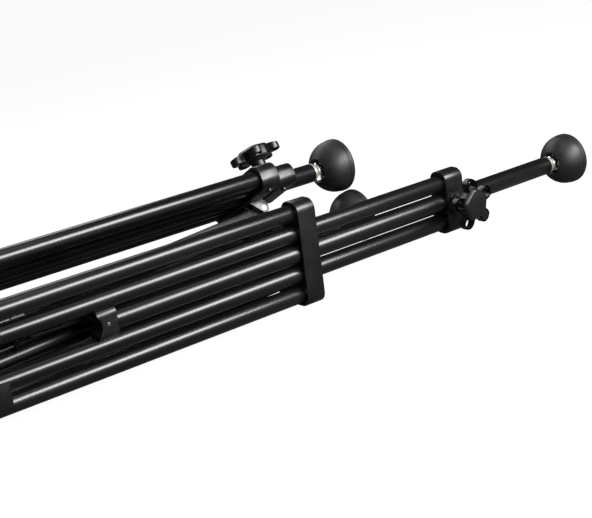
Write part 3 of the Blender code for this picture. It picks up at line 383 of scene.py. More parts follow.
class Surface:
    """A material under construction, on the object's own coordinates."""

    def __init__(self, name):
        self.material = bpy.data.materials.new(name)
        self.material.use_nodes = True
        self.tree = self.material.node_tree
        self.tree.nodes.clear()
        self.place = self.node("ShaderNodeTexCoord", output="Object")

    def node(self, kind, settings=None, values=None, output=0):
        """Adds a node: its settings are set first, then its sockets get a value or a link."""
        made = self.tree.nodes.new(kind)
        for key, value in (settings or {}).items():
            setattr(made, key, value)
        for key, value in (values or {}).items():
            if isinstance(value, Signal):
                self.tree.links.new(value.socket, made.inputs[key])
            else:
                made.inputs[key].default_value = value
        return Signal(self, made.outputs[output])

    def stretched(self, x=1.0, y=1.0, z=1.0, turn=(0.0, 0.0, 0.0)):
        values = {"Vector": self.place, "Scale": (x, y, z), "Rotation": turn}
        return self.node("ShaderNodeMapping", None, values)

    def noise(self, scale, detail=3.0, roughness=0.55, place=None):
        values = {
            "Vector": place or self.place, "Scale": scale, "Detail": detail, "Roughness": roughness
        }
        return self.node("ShaderNodeTexNoise", None, values)

    def cells(self, scale, feature="F1", place=None):
        values = {"Vector": place or self.place, "Scale": scale}
        return self.node("ShaderNodeTexVoronoi", {"feature": feature}, values)

    def mix(self, amount, dark, light):
        return self.node(
            "ShaderNodeMix", {"data_type": "RGBA"}, {0: amount, 6: (*dark, 1.0), 7: (*light, 1.0)}, output=2
        )

    def mix_in(self, amount, colour, light):
        return self.node(
            "ShaderNodeMix", {"data_type": "RGBA"}, {0: amount, 6: colour, 7: (*light, 1.0)}, output=2
        )

    def bump(self, height, distance, strength=1.0):
        return self.node(
            "ShaderNodeBump", None, {"Height": height, "Distance": distance, "Strength": strength}
        )

    def finish(self, **inputs):
        """Ends the material in a Principled BSDF; a name's underscores stand for spaces."""
        values = {name.replace("_", " "): value for name, value in inputs.items()}
        shader = self.node("ShaderNodeBsdfPrincipled", None, values)
        self.node_out(shader)
        return self.material

    def node_out(self, shader):
        output = self.tree.nodes.new("ShaderNodeOutputMaterial")
        self.tree.links.new(shader.socket, output.inputs["Surface"])
        return output


def anodised_tube(name):
    """Drawn tube, black anodised: faint lines along it, a little dust and handling haze."""
    s = Surface(name)
    drawn = s.noise(1300.0, 3.0, 0.6, s.stretched(0.08, 1.0, 1.0))
    haze = s.noise(9.0, 2.0, 0.5).ramp(0.3, 0.8)
    dust = s.noise(1900.0, 2.0, 0.6).ramp(0.72, 0.88)
    colour = s.mix_in(
        dust * 0.10,
        s.mix(haze, (0.0022, 0.0022, 0.0025), (0.0042, 0.0043, 0.0047)),
        (0.06, 0.06, 0.06),
    )
    rough = 0.265 + 0.03 * haze + 0.02 * drawn + 0.10 * dust
    bump = s.bump(drawn, 0.0000015, 0.15)
    return s.finish(Base_Color=colour, Roughness=rough, Metallic=0.0, IOR=1.55, Normal=bump)


def coated_casting(name):
    """Satin powder coat on a casting: fine orange peel, softer sheen in patches."""
    s = Surface(name)
    peel = s.noise(1500.0, 2.0, 0.5)
    patches = s.noise(40.0, 3.0, 0.6).ramp(0.3, 0.75)
    specks = s.noise(2600.0, 1.0, 0.5).ramp(0.72, 0.85)
    colour = s.mix_in(
        specks * 0.12,
        s.mix(patches, (0.0032, 0.0032, 0.0034), (0.0062, 0.0062, 0.0065)),
        (0.07, 0.07, 0.07),
    )
    rough = 0.30 + 0.07 * patches + 0.10 * specks
    return s.finish(
        Base_Color=colour, Roughness=rough, Metallic=0.0, IOR=1.5, Normal=s.bump(peel, 0.00004, 0.5)
    )


def moulded_plastic(name):
    """Glass-filled nylon with a fine spark texture."""
    s = Surface(name)
    spark = s.cells(1700.0)
    cloud = s.noise(55.0, 4.0, 0.6).ramp(0.3, 0.8)
    colour = s.mix(cloud, (0.0035, 0.0035, 0.0037), (0.0080, 0.0080, 0.0083))
    rough = 0.30 + 0.10 * cloud
    return s.finish(
        Base_Color=colour, Roughness=rough, Metallic=0.0, IOR=1.5, Normal=s.bump(spark, 0.00003, 0.4)
    )


def foot_rubber(name):
    """Matte rubber with a bloom of grey, fine pores and a little dust."""
    s = Surface(name)
    bloom = s.noise(70.0, 5.0, 0.65).ramp(0.3, 0.8)
    pores = s.noise(2300.0, 3.0, 0.6)
    dust = s.noise(900.0, 3.0, 0.7).ramp(0.64, 0.86)
    colour = s.mix_in(
        dust * 0.20,
        s.mix(bloom, (0.0048, 0.0050, 0.0052), (0.0095, 0.0097, 0.0100)),
        (0.06, 0.06, 0.058),
    )
    rough = 0.46 + 0.12 * bloom + 0.10 * dust
    return s.finish(
        Base_Color=colour, Roughness=rough, Metallic=0.0, IOR=1.5, Normal=s.bump(pores, 0.00006, 0.5)
    )


def plated_steel(name):
    """Zinc-plated steel, turned: fine lines, cloudy passivation."""
    s = Surface(name)
    cloud = s.noise(180.0, 4.0, 0.6).ramp(0.3, 0.75)
    lines = s.noise(2500.0, 2.0, 0.6, s.stretched(1.0, 0.15, 0.15))
    stain = s.noise(600.0, 3.0, 0.6).ramp(0.6, 0.85)
    colour = s.mix_in(
        stain * 0.45, s.mix(cloud, (0.52, 0.52, 0.49), (0.66, 0.66, 0.62)), (0.22, 0.21, 0.19)
    )
    rough = 0.24 + 0.14 * cloud + 0.10 * lines + 0.12 * stain
    return s.finish(
        Base_Color=colour, Roughness=rough, Metallic=1.0, Normal=s.bump(lines, 0.00002, 0.4)
    )


def bright_steel(name):
    """Polished nickel-plated nuts and rivets."""
    s = Surface(name)
    cloud = s.noise(300.0, 3.0, 0.6).ramp(0.3, 0.8)
    colour = s.mix(cloud, (0.74, 0.74, 0.73), (0.84, 0.84, 0.82))
    rough = 0.08 + 0.10 * cloud
    return s.finish(
        Base_Color=colour, Roughness=rough, Metallic=1.0, Normal=s.bump(cloud, 0.00001, 0.3)
    )


def blacked_steel(name):
    """Black-oxide socket screws, with a thin film of oil."""
    s = Surface(name)
    cloud = s.noise(420.0, 3.0, 0.6).ramp(0.3, 0.8)
    colour = s.mix(cloud, (0.010, 0.010, 0.011), (0.022, 0.022, 0.023))
    rough = 0.30 + 0.12 * cloud
    return s.finish(
        Base_Color=colour, Roughness=rough, Metallic=0.3, Normal=s.bump(cloud, 0.00001, 0.3)
    )


def cast_insert(name):
    """Pale, bead-blasted alloy insert at the foot of the tube."""
    s = Surface(name)
    blast = s.noise(2200.0, 2.0, 0.5)
    cloud = s.noise(160.0, 3.0, 0.6).ramp(0.3, 0.8)
    colour = s.mix(cloud, (0.42, 0.42, 0.38), (0.56, 0.56, 0.52))
    rough = 0.42 + 0.12 * cloud
    return s.finish(
        Base_Color=colour, Roughness=rough, Metallic=0.75, Normal=s.bump(blast, 0.00004, 0.5)
    )


def dark_anodised(name):
    """Machined aluminium, anodised dark grey."""
    s = Surface(name)
    turned = s.noise(1400.0, 2.0, 0.6, s.stretched(0.1, 1.0, 1.0))
    cloud = s.noise(60.0, 3.0, 0.6).ramp(0.3, 0.8)
    colour = s.mix(cloud, (0.030, 0.030, 0.032), (0.052, 0.052, 0.055))
    rough = 0.26 + 0.08 * cloud + 0.07 * turned
    return s.finish(
        Base_Color=colour, Roughness=rough, Metallic=0.85, Normal=s.bump(turned, 0.00002, 0.4)
    )


def grip_foam(name):
    """Closed-cell foam sleeve with an open, crumbly skin; the pit of each cell is painted darker, as painted
    shade.
    """
    s = Surface(name)
    cells = s.cells(650.0)
    fine = s.cells(1700.0)
    wear = s.noise(45.0, 3.0, 0.6).ramp(0.4, 0.8)
    # painted shade: each foam cell's colour is darkest at the bottom of its pit in the bump and lighter at
    # its rim
    colour = s.mix_in(
        wear * 0.35,
        s.mix(cells.ramp(0.0, 0.7), (0.006, 0.006, 0.006), (0.018, 0.018, 0.018)),
        (0.040, 0.040, 0.039),
    )
    height = cells * 0.7 + fine * 0.3
    return s.finish(
        Base_Color=colour,
        Roughness=0.80 + 0.10 * wear,
        Metallic=0.0,
        Normal=s.bump(height, 0.0004, 0.7),
    )


def level_fluid(name):
    """The vial's fluid seen through its clear cap."""
    s = Surface(name)
    swirl = s.noise(260.0, 2.0, 0.5).ramp(0.3, 0.8)
    colour = s.mix(swirl, (0.30, 0.52, 0.05), (0.46, 0.66, 0.10))
    return s.finish(Base_Color=colour, Roughness=0.05 + 0.04 * swirl, Metallic=0.0, Coat_Weight=1.0)


def cork_rubber(name):
    """The camera plate's cork and rubber pads; the hollow of each crumb is painted darker, as painted shade.
    """
    s = Surface(name)
    crumbs = s.cells(900.0)
    cloud = s.noise(500.0, 4.0, 0.65)
    # painted shade: each crumb's colour is darkest at the bottom of its hollow in the bump and lighter at
    # its rim
    colour = s.mix(crumbs.ramp(0.1, 0.8), (0.020, 0.018, 0.016), (0.060, 0.052, 0.044))
    rough = 0.80 + 0.12 * cloud
    return s.finish(
        Base_Color=colour, Roughness=rough, Metallic=0.0, Normal=s.bump(crumbs, 0.00018, 0.6)
    )


def red_plastic(name):
    s = Surface(name)
    cloud = s.noise(200.0, 3.0, 0.6).ramp(0.3, 0.8)
    colour = s.mix(cloud, (0.30, 0.010, 0.008), (0.42, 0.018, 0.012))
    return s.finish(Base_Color=colour, Roughness=0.30 + 0.08 * cloud, Metallic=0.0)


tube_black = anodised_tube("black_anodised_tube")
casting_black = coated_casting("black_coated_casting")
plastic_black = moulded_plastic("black_moulded_plastic")
rubber_black = foot_rubber("black_foot_rubber")
steel_plated = plated_steel("zinc_plated_steel")
steel_bright = bright_steel("polished_steel")
steel_black = blacked_steel("black_oxide_steel")
alloy_pale = cast_insert("pale_alloy")
alloy_dark = dark_anodised("dark_anodised_alloy")
foam_black = grip_foam("black_grip_foam")
fluid_green = level_fluid("green_level_fluid")
cork_dark = cork_rubber("dark_cork_rubber")
plastic_red = red_plastic("red_button")


# ---------------------------------------------------------------- legs: sizes from the frame

first_leg = leg_places[1]
outer_low, outer_high = extent("leg_1_upper_tube_right", first_leg)
inner_low, inner_high = extent("leg_1_middle_tube_right", first_leg)
lower_low, lower_high = extent("leg_1_lower_tube", first_leg)
tube_plane = (outer_low.z + outer_high.z) / 2
upper_y = (outer_low.y + outer_high.y) / 2
middle_y = (inner_low.y + inner_high.y) / 2
upper_radius = (outer_high.y - outer_low.y) / 2
middle_radius = (inner_high.y - inner_low.y) / 2
lower_radius = (lower_high.y - lower_low.y) / 2
TUBE_WALL = 0.0015


def hinge_spot(leg):
    return leg_places[leg]


def tube_spot(leg):
    return shifted(leg_places[leg], z=tube_plane)


def upper_spot(leg):
    """On the head side of the upper collar, in the tubes' plane."""
    start = extent(f"leg_{leg}_upper_collar", leg_places[leg])[0].x
    return shifted(leg_places[leg], start, 0, tube_plane)


def middle_spot(leg):
    """On the head side of the lower collar, in the tubes' plane."""
    start = extent(f"leg_{leg}_lower_collar", leg_places[leg])[0].x
    return shifted(leg_places[leg], start, 0, tube_plane)


def lower_spot(leg):
    """At the foot end of the lower tube."""
    end = extent(f"leg_{leg}_lower_tube", leg_places[leg])[1].x
    return shifted(leg_places[leg], end, 0, tube_plane)


def knob_spot(leg):
    place = leg_places[leg].copy()
    place.translation = Vector(joints[f"leg_{leg}_knob_turn"]["pos_m"])
    return place


def arm_spot(leg):
    """On the arm's pivot, with x along the arm."""
    here = Vector(joints[f"leg_{leg}_arm_swing"]["pos_m"])
    across = leg_places[leg].col[1].xyz
    low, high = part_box(f"leg_{leg}_spreader_arm")
    far = (low + high) / 2 - here
    along = (far - across * far.dot(across)).normalized()
    return place_of(here, along, along.cross(across))


def local(node, spot):
    return extent(node, spot)


# ---------------------------------------------------------------- leg tubes


def tube(radius, start, end, y=0.0, wall=TUBE_WALL):
    """A drawn tube, open at both ends to a shoulder deep inside."""
    obj = rod(radius, start, end, "x", (y, 0))
    for side in (-1, 1):
        with Edit(obj) as edit:
            edit.faces(lambda centre, normal: normal.x * side > 0.9)
            bpy.ops.mesh.inset(thickness=wall)
            depth = 0.04 * -side
            bpy.ops.mesh.extrude_region_move(TRANSFORM_OT_translate={"value": (depth, 0, 0)})
    return softened(obj, 0.0004, 2, 40)


def make_tubes():
    for side, word in ((-1, "left"), (1, "right")):
        low, high = local(f"leg_1_upper_tube_{word}", tube_spot(1))
        obj = tube(upper_radius, low.x, high.x, side * upper_y)
        on_each_leg(
            obj,
            f"outer_tube_{word}",
            "upper",
            tube_black,
            "black_tube",
            tube_spot,
            f"upper_tube_{word}",
        )
        low, high = local(f"leg_1_middle_tube_{word}", middle_spot(1))
        obj = tube(middle_radius, low.x, high.x, side * middle_y)
        on_each_leg(
            obj,
            f"inner_tube_{word}",
            "middle",
            tube_black,
            "black_tube",
            middle_spot,
            f"middle_tube_{word}",
        )
    low, high = local("leg_1_lower_tube", lower_spot(1))
    obj = tube(lower_radius, low.x, high.x)
    on_each_leg(obj, "foot_tube", "lower", tube_black, "black_tube", lower_spot, "lower_tube")


# ---------------------------------------------------------------- collars

UPPER_COLLAR_LENGTH = 0.0222
COLLAR_ROUNDING = 0.0108
YOKE_ROUNDING = 0.0118
COLLAR_HALF_THICKNESS = 0.0134
LOWER_ROUNDING = 0.0098
MOUTH_GAP = 0.0005
SOCKET_FLOOR = 0.0040
GUIDE_GAP = 0.0006
EAR_START, EAR_END = 0.0035, 0.0085  # across the leg, of the lug's two ears
EAR_TIP_RADIUS = 0.0055
SPREADER_PIN_HOLE = 0.0025


def across_both(maker, y):
    return [maker(side * y) for side in (-1, 1)]


def tube_hole(radius, end, y=0.0):
    """The way through a collar for a tube that it holds or guides."""
    return rod(radius + MOUTH_GAP, -PAST, end, "x", (y, 0))


def collar_screws(length, half, y):
    """Two socket screws in the collar's inner face."""
    screws = []
    for side in (-1, 1):
        screws.append(moved(cap_screw(0.0030, 0.0022, 0.003), length / 2, side * y, -half, 180, "X"))
    return together(*screws)


def cap_screw(radius=0.0028, height=0.0026, shank=0.004):
    """A socket-head screw standing on z = 0, with its hexagon recess."""
    body = lathe(
        [
            (0, height),
            (radius - 0.0004, height),
            (radius, height - 0.0004),
            (radius, 0),
            (radius * 0.55, 0),
            (radius * 0.55, -shank),
            (0, -shank),
        ],
        32,
    )
    recess = rod(radius * 0.52, height * 0.45, height + 0.001, "z", sides=6)
    return carved(body, recess)


def hex_nut(across_corners, low, high, bore=0.0):
    """A hexagon nut with chamfered corners along z."""
    nut = rod(across_corners, low, high, "z", sides=6)
    chamfer = lathe(
        [
            (0, high),
            (across_corners * 0.88, high),
            (across_corners * 1.01, high - across_corners * 0.09),
            (across_corners * 1.01, low + across_corners * 0.09),
            (across_corners * 0.88, low),
            (0, low),
        ],
        48,
    )
    nut = boolean(nut, [chamfer], "INTERSECT")
    if bore:
        carved(nut, rod(bore, low - 0.001, high + 0.001, "z", sides=32))
    return softened(nut, 0.00025, 2, 25)


def make_upper_collars():
    high = local("leg_1_upper_collar", upper_spot(1))[1]
    length, half_width, half = UPPER_COLLAR_LENGTH, high.y, high.z
    pivot = upper_spot(1).inverted() @ Vector(joints["leg_1_arm_swing"]["pos_m"])
    room = lower_radius + GUIDE_GAP
    body = block((0, -half_width, -half), (length, half_width, half), COLLAR_ROUNDING)
    carved(
        body,
        *across_both(lambda y: tube_hole(upper_radius, length - SOCKET_FLOOR, y), upper_y),
        *across_both(lambda y: tube_hole(middle_radius, length + PAST, y), middle_y),
        block((-PAST, -middle_y, -room), (length + PAST, middle_y, room)),
    )
    ears = []
    for side in (-1, 1):
        inner, outer = sorted((side * EAR_START, side * EAR_END))
        outline = [
            (0.0040, half - 0.0025),
            (length - 0.0008, half - 0.0025),
            (pivot.x + EAR_TIP_RADIUS - 0.0002, half + 0.0030),
            *arc(EAR_TIP_RADIUS, 0, 150, 14, (pivot.x, -pivot.z)),
        ]
        ear = plate([outline], inner, outer, 0.0006, 2)
        ears.append(moved(ear, turn=-90, axis="X"))
    for ear in ears:
        with Edit(ear):
            bpy.ops.mesh.select_all(action="SELECT")
            bpy.ops.mesh.normals_make_consistent(inside=False)
    softened(body, 0.0009, 3)
    fused(body, *ears)
    carved(body, rod(SPREADER_PIN_HOLE, -PAST_ALL, PAST_ALL, "y", (pivot.x, pivot.z), 24))
    on_each_leg(
        body, "outer_collar", "upper", casting_black, "black_casting", upper_spot, "upper_collar"
    )

    bolt = together(
        rod(0.0023, -0.0084, 0.0088, "y", (pivot.x, pivot.z), 24),
        moved(hex_nut(0.0044, 0.0, 0.0030), pivot.x, 0.0088, pivot.z, -90, "X"),
    )
    on_each_leg(bolt, "spreader_bolt", "upper", steel_bright, "plated_steel", upper_spot)

    screws = collar_screws(length, half, upper_y)
    on_each_leg(screws, "collar_screws", "upper", steel_black, "plated_steel", upper_spot)


def make_lower_collars():
    low, high = local("leg_1_lower_collar", middle_spot(1))
    length, half_width, half = high.x, high.y, -low.z
    boss_top = high.z
    body = block((0, -half_width, -half), (length, half_width, half), LOWER_ROUNDING)
    boss = lathe(
        [
            (0, boss_top),
            (0.0085, boss_top),
            (0.0095, boss_top - 0.0010),
            (0.0097, half + 0.0020),
            (0.0115, half - 0.0010),
            (0, half - 0.0010),
        ],
        FINE,
    )
    boss = moved(boss, length / 2)
    carved(
        body,
        *across_both(lambda y: tube_hole(middle_radius, length - SOCKET_FLOOR, y), middle_y),
        tube_hole(lower_radius, length + PAST),
    )
    softened(body, 0.0009, 3)
    fused(body, boss)
    carved(body, rod(0.0043, half - 0.004, boss_top + 0.001, "z", (length / 2, 0), 32))
    on_each_leg(
        body, "inner_collar", "middle", casting_black, "black_casting", middle_spot, "lower_collar"
    )

    screws = collar_screws(length, half, middle_y)
    on_each_leg(screws, "inner_collar_screws", "middle", steel_black, "plated_steel", middle_spot)


# ---------------------------------------------------------------- star lock knobs

LOBES = 5
LOBE_PLACE = 0.0210
LOBE_RADIUS = 0.0074
KNOB_HUB = 0.0156
KNOB_PENTAGON = 0.0196
KNOB_DEPTH = 0.0122  # from the hub's top down to the rim's underside
KNOB_CAP = 0.0028  # the hub's height over the rim
KNOB_STUD = 0.0040
KNOB_TURN = 24


def knob_outline(points=200):
    """The rim: a hub with five round loops, the corners between them filled in."""
    reach = []
    for i in range(points):
        off = (360 * i / points + 180 / LOBES) % (360 / LOBES) - 180 / LOBES
        side = LOBE_PLACE * sin(radians(off))
        here = KNOB_HUB
        if abs(side) < LOBE_RADIUS:
            here = max(here, LOBE_PLACE * cos(radians(off)) + sqrt(LOBE_RADIUS**2 - side**2))
        reach.append(here)
    for _ in range(3):
        reach = [(reach[i - 1] + 2 * reach[i] + reach[(i + 1) % points]) / 4 for i in range(points)]
    scale = (LOBE_PLACE + LOBE_RADIUS) / max(reach)
    angles = [2 * pi * i / points for i in range(points)]
    return [(scale * r * cos(a), scale * r * sin(a)) for a, r in zip(angles, reach)]


def loop_hole(angle, points=28):
    """A rounded four-sided opening in a loop."""
    hole = []
    for i in range(points):
        a = 2 * pi * i / points
        x = LOBE_PLACE + 0.0002 + 0.0049 * abs(cos(a)) ** 0.8 * (1 if cos(a) > 0 else -1)
        y = 0.0052 * abs(sin(a)) ** 0.8 * (1 if sin(a) > 0 else -1)
        hole.append((x * cos(angle) - y * sin(angle), x * sin(angle) + y * cos(angle)))
    return hole


def make_lock_knobs():
    low, high = local("leg_1_lock_knob", knob_spot(1))
    stud, top = low.z, high.z
    plate_low, plate_high = top - KNOB_DEPTH, top - KNOB_CAP
    collar_top = local("leg_1_lower_collar", knob_spot(1))[1].z
    holes = [loop_hole(2 * pi * i / LOBES) for i in range(LOBES)]
    star = plate([knob_outline(), *holes], plate_low, plate_high, 0.0011, 3)
    dome = lathe(
        [
            (0, plate_high + 0.0005),
            (0.0120, plate_high + 0.0002),
            (0.0200, plate_high - 0.0008),
            (0.0260, plate_high - 0.0018),
            (0.0300, plate_high - 0.0030),
            (0.0300, plate_low - 0.001),
            (0, plate_low - 0.001),
        ],
        FINE,
    )
    boolean(star, [dome], "INTERSECT")
    hub = moved(rod(KNOB_PENTAGON, plate_low - 0.0005, top, "z", sides=LOBES), turn=-90 / LOBES)
    with Edit(hub) as edit:
        edit.edges(lambda a, b: abs(a.z - b.z) > 0.005)
        bpy.ops.mesh.bevel(offset=0.0052, segments=6, affect="EDGES")
        edit.edges(lambda a, b: a.z > top - TINY and b.z > top - TINY)
        bpy.ops.mesh.bevel(offset=0.0026, segments=1, affect="EDGES")
    softened(hub, 0.0004, 2, 20)
    stem = lathe(
        [
            (0, plate_low + 0.001),
            (0.0125, plate_low + 0.001),
            (0.0125, plate_low - 0.0005),
            (0.0078, plate_low - 0.0040),
            (0.0075, collar_top + 0.0004),
            (KNOB_STUD, collar_top + 0.0004),
            (KNOB_STUD, stud + 0.0002),
            (0, stud + 0.0002),
        ],
        48,
    )
    knob = together(star, hub, stem)
    knob = moved(knob, turn=KNOB_TURN)
    on_each_leg(
        knob, "star_knob", "knob", plastic_black, "black_plastic", knob_spot, "lock_knob", smooth=28
    )


# ---------------------------------------------------------------- bridge, guide and yoke


BRIDGE_NOTCH = 0.0182  # half width of the room for the guide
BRIDGE_END = 0.0080  # what the shell leaves off the foot end
GUIDE_HALF_WIDTH = 0.0150
GUIDE_HALF_THICKNESS = 0.0098
GUIDE_ROUNDING = 0.0075


def make_bridges_and_guides():
    low, high = local("leg_1_middle_bridge", middle_spot(1))
    half = high.z
    notch = local("leg_1_middle_tube_right", middle_spot(1))[0].x
    reach = upper_y - 0.002
    body = block((low.x, -reach, -half), (high.x, reach, half))
    web = low.x + (high.x - low.x) * 0.42
    carved(
        body,
        block((web, -BRIDGE_NOTCH, -PAST_ALL), (high.x + PAST, BRIDGE_NOTCH, PAST_ALL)),
        block((high.x - BRIDGE_END, -upper_y, -PAST_ALL), (high.x + PAST, upper_y, PAST_ALL)),
        *across_both(
            lambda y: rod(upper_radius + GUIDE_GAP, low.x - PAST, high.x + PAST, "x", (y, 0)), upper_y
        ),
        *across_both(
            lambda y: rod(middle_radius + 0.0003, notch - 0.0004, high.x + PAST, "x", (y, 0)), middle_y
        ),
    )
    softened(body, 0.0008, 3)
    on_each_leg(
        body, "slider_bridge", "middle", plastic_black, "black_plastic", middle_spot, "middle_bridge"
    )

    low, high = local("leg_1_lower_guide", lower_spot(1))
    tube_start = local("leg_1_lower_tube", lower_spot(1))[0].x
    wide, half = GUIDE_HALF_WIDTH, GUIDE_HALF_THICKNESS
    guide = block((low.x, -wide, -half), (tube_start - 0.0003, wide, half), GUIDE_ROUNDING)
    saddle = middle_radius + GUIDE_GAP
    cuts = across_both(lambda y: rod(saddle, low.x - PAST, tube_start + PAST, "x", (y, 0)), middle_y)
    scoop = rod(0.0125, -0.02, 0.02, "z", (low.x - 0.0088, 0), 64)
    carved(guide, *cuts, scoop)
    softened(guide, 0.0007, 3)
    plug = rod(lower_radius - TUBE_WALL - 0.0003, tube_start - 0.004, high.x, "x", sides=48)
    lip = rod(lower_radius, tube_start - 0.0030, tube_start - 0.0003, "x")
    fused(guide, plug, softened(lip, 0.0004, 2))
    on_each_leg(
        guide, "tube_guide", "lower", plastic_black, "black_plastic", lower_spot, "lower_guide"
    )

    rivets = []
    middle = (low.x + tube_start) / 2
    for side in (-1, 1):
        head = lathe(
            [(0, 0.0012), *arc(0.0022, 60, 20, 4, (0, -0.0007)), (0.0024, -0.0006), (0, -0.0006)], 32
        )
        rivets.append(moved(head, middle, 0, side * half, 0 if side > 0 else 180, "X"))
    on_each_leg(together(*rivets), "guide_rivets", "lower", steel_bright, "plated_steel", lower_spot)


YOKE_START = 0.0160  # from the hinge to the yoke's body
YOKE_NECK = (-0.0095, 0.0110)
YOKE_WINDOW_START = 0.0120
YOKE_WINDOW = 0.0240
BOSS_RADIUS = 0.0120
BOSS_HALF_WIDTH = 0.0200
AXLE_RADIUS = 0.0050


def make_yokes():
    high = local("leg_1_yoke", hinge_spot(1))[1]
    start, end = YOKE_START, high.x
    half_width = high.y
    z = tube_plane
    half = COLLAR_HALF_THICKNESS
    body = block((start, -half_width, z - half), (end, half_width, z + half), YOKE_ROUNDING)
    neck_low, neck_high = YOKE_NECK
    wide = BOSS_HALF_WIDTH
    neck = block((0, -wide, neck_low), (start + 0.004, wide, neck_high), 0.0020, "y", 4)
    boss = rod(BOSS_RADIUS, -wide, wide, "y")
    fused(body, neck, boss)
    window = block(
        (start + YOKE_WINDOW_START, -YOKE_WINDOW, z - PAST_ALL),
        (end + PAST, YOKE_WINDOW, z + PAST_ALL),
        0.0040,
        "z",
        5,
    )
    carved(
        body,
        *across_both(
            lambda y: rod(upper_radius + MOUTH_GAP, start + SOCKET_FLOOR, end + PAST, "x", (y, z)), upper_y
        ),
        rod(AXLE_RADIUS + 0.0003, -PAST_ALL, PAST_ALL, "y", (0, 0), 32),
        window,
    )
    softened(body, 0.0008, 3)
    on_each_leg(body, "hinge_yoke", "upper", casting_black, "black_casting", hinge_spot, "yoke")

    screws = []
    for y in (-upper_y, upper_y):
        for x in (start + 0.016, end - 0.010):
            screws.append(moved(cap_screw(0.0030, 0.0022, 0.003), x, y, z - half, 180, "X"))
    on_each_leg(together(*screws), "yoke_screws", "upper", steel_plated, "plated_steel", hinge_spot)

    reach = local("leg_1_hinge_axle", hinge_spot(1))[1].y
    shaft = rod(AXLE_RADIUS, -reach + 0.0005, reach - 0.0035, "y", sides=40)
    head = moved(hex_nut(0.0078, 0, 0.0038), 0, reach - 0.0039, 0, -90, "X")
    thread = lathe([(0, 0.0036), (0.0042, 0.0036), (0.0049, 0.0028), (0.0049, 0.0), (0, 0)], 40)
    thread = moved(thread, 0, -reach + 0.0041, 0, 90, "X")
    axle = together(shaft, head, thread)
    on_each_leg(axle, "hinge_bolt", "crown", steel_plated, "plated_steel", hinge_spot, "hinge_axle")


# ---------------------------------------------------------------- feet


TOUCH = 0.0003  # between pieces that meet
INSERT_RADIUS = 0.0098
SPINDLE_PITCH = 0.00125
SPINDLE_CREST, SPINDLE_ROOT = 0.0062, 0.0055
SOLE_THICKNESS = 0.0060
FOOT_MOUTH = 0.0134
FOOT_LIP = 0.0004  # how far the sole's rim stands past the dome
TREAD_RINGS = (0.0235, 0.0175, 0.0115)
TREAD_DEPTH = 0.0016


def make_feet():
    low, high = local("leg_1_foot_spike", lower_spot(1))
    plug = lower_radius - TUBE_WALL - TOUCH
    flange = lathe(
        [
            (0, 0.0078),
            (0.0064, 0.0078),
            (0.0070, 0.0070),
            (0.0076, 0.0050),
            (0.0094, 0.0034),
            (INSERT_RADIUS, 0.0026),
            (INSERT_RADIUS, TOUCH),
            (plug, TOUCH),
            (plug, low.x),
            (0, low.x),
        ],
        FINE,
        "x",
    )
    lug = block((0.0022, -0.0034, -0.0112), (0.0082, 0.0034, 0.0), 0.0008, "x", 3)
    insert = fused(flange, softened(lug, 0.0004, 2))
    on_each_leg(insert, "tube_insert", "lower", alloy_pale, "plated_steel", lower_spot)

    pitch, crest, root = SPINDLE_PITCH, SPINDLE_CREST, SPINDLE_ROOT
    start, end = 0.0046, high.x - 0.0015
    profile = [(0, end + 0.0015), (root * 0.8, end + 0.0015), (root, end)]
    x = end
    while x - pitch > start:
        profile += [(crest, x - pitch * 0.40), (crest, x - pitch * 0.55), (root, x - pitch * 0.95)]
        x -= pitch
    profile += [(root, start), (0, start)]
    spindle = lathe(profile, 72, "x")
    on_each_leg(
        spindle,
        "foot_spindle",
        "lower",
        steel_plated,
        "plated_steel",
        lower_spot,
        "foot_spike",
        smooth=24,
    )

    pad_low, pad_high = local("leg_1_foot_pad", lower_spot(1))
    nut = moved(hex_nut(0.0092, pad_low.x - 0.0022, pad_low.x + 0.0032, 0.0058), turn=90, axis="Y")
    ring = lathe(
        [
            (0.0074, pad_low.x + 0.0060),
            (0.0088, pad_low.x + 0.0052),
            (0.0092, pad_low.x + 0.0038),
            (0.0064, pad_low.x + 0.0034),
        ],
        64,
        "x",
    )
    on_each_leg(together(nut, ring), "foot_nut", "lower", steel_bright, "plated_steel", lower_spot)

    radius = pad_high.y
    sole, mouth = pad_high.x - 0.0001, pad_low.x
    widest = sole - SOLE_THICKNESS
    height = widest - mouth
    dome_radius = radius - FOOT_LIP
    lowest = acos(FOOT_MOUTH / dome_radius)
    dome = [
        (r, widest - up * height / (dome_radius * sin(lowest)))
        for r, up in arc(dome_radius, 4, degrees(lowest), 26)
    ]
    face, groove = sole - 0.0004, sole - TREAD_DEPTH
    tread = []
    for ring in TREAD_RINGS:
        tread += [
            (ring, face), (ring - 0.0007, groove), (ring - 0.0017, groove), (ring - 0.0024, face)
        ]
    profile = [
        (0, face),
        *reversed(tread),
        (radius - 0.0024, sole),
        *arc(0.0012, 80, 5, 4, (radius - 0.0012, sole - 0.0012)),
        (radius, widest + 0.0016),
        *arc(0.0006, 10, -50, 3, (radius - 0.0006, widest + 0.0012)),
        (radius - 0.0006, widest + 0.0004),
        *dome,
        (FOOT_MOUTH - 0.0008, mouth + 0.0002),
        (FOOT_MOUTH - 0.0018, mouth + 0.0010),
        (0.0098, mouth + 0.0066),
        (0.0090, mouth + 0.0095),
        (0.0066, mouth + 0.0098),
        (0.0066, high.x + 0.0008),
        (0, high.x + 0.0008),
    ]
    pad = lathe(profile, FINE, "x")
    on_each_leg(
        pad, "rubber_foot", "foot", rubber_black, "black_rubber", lower_spot, "foot_pad", smooth=40
    )


# ---------------------------------------------------------------- mid-level spreader


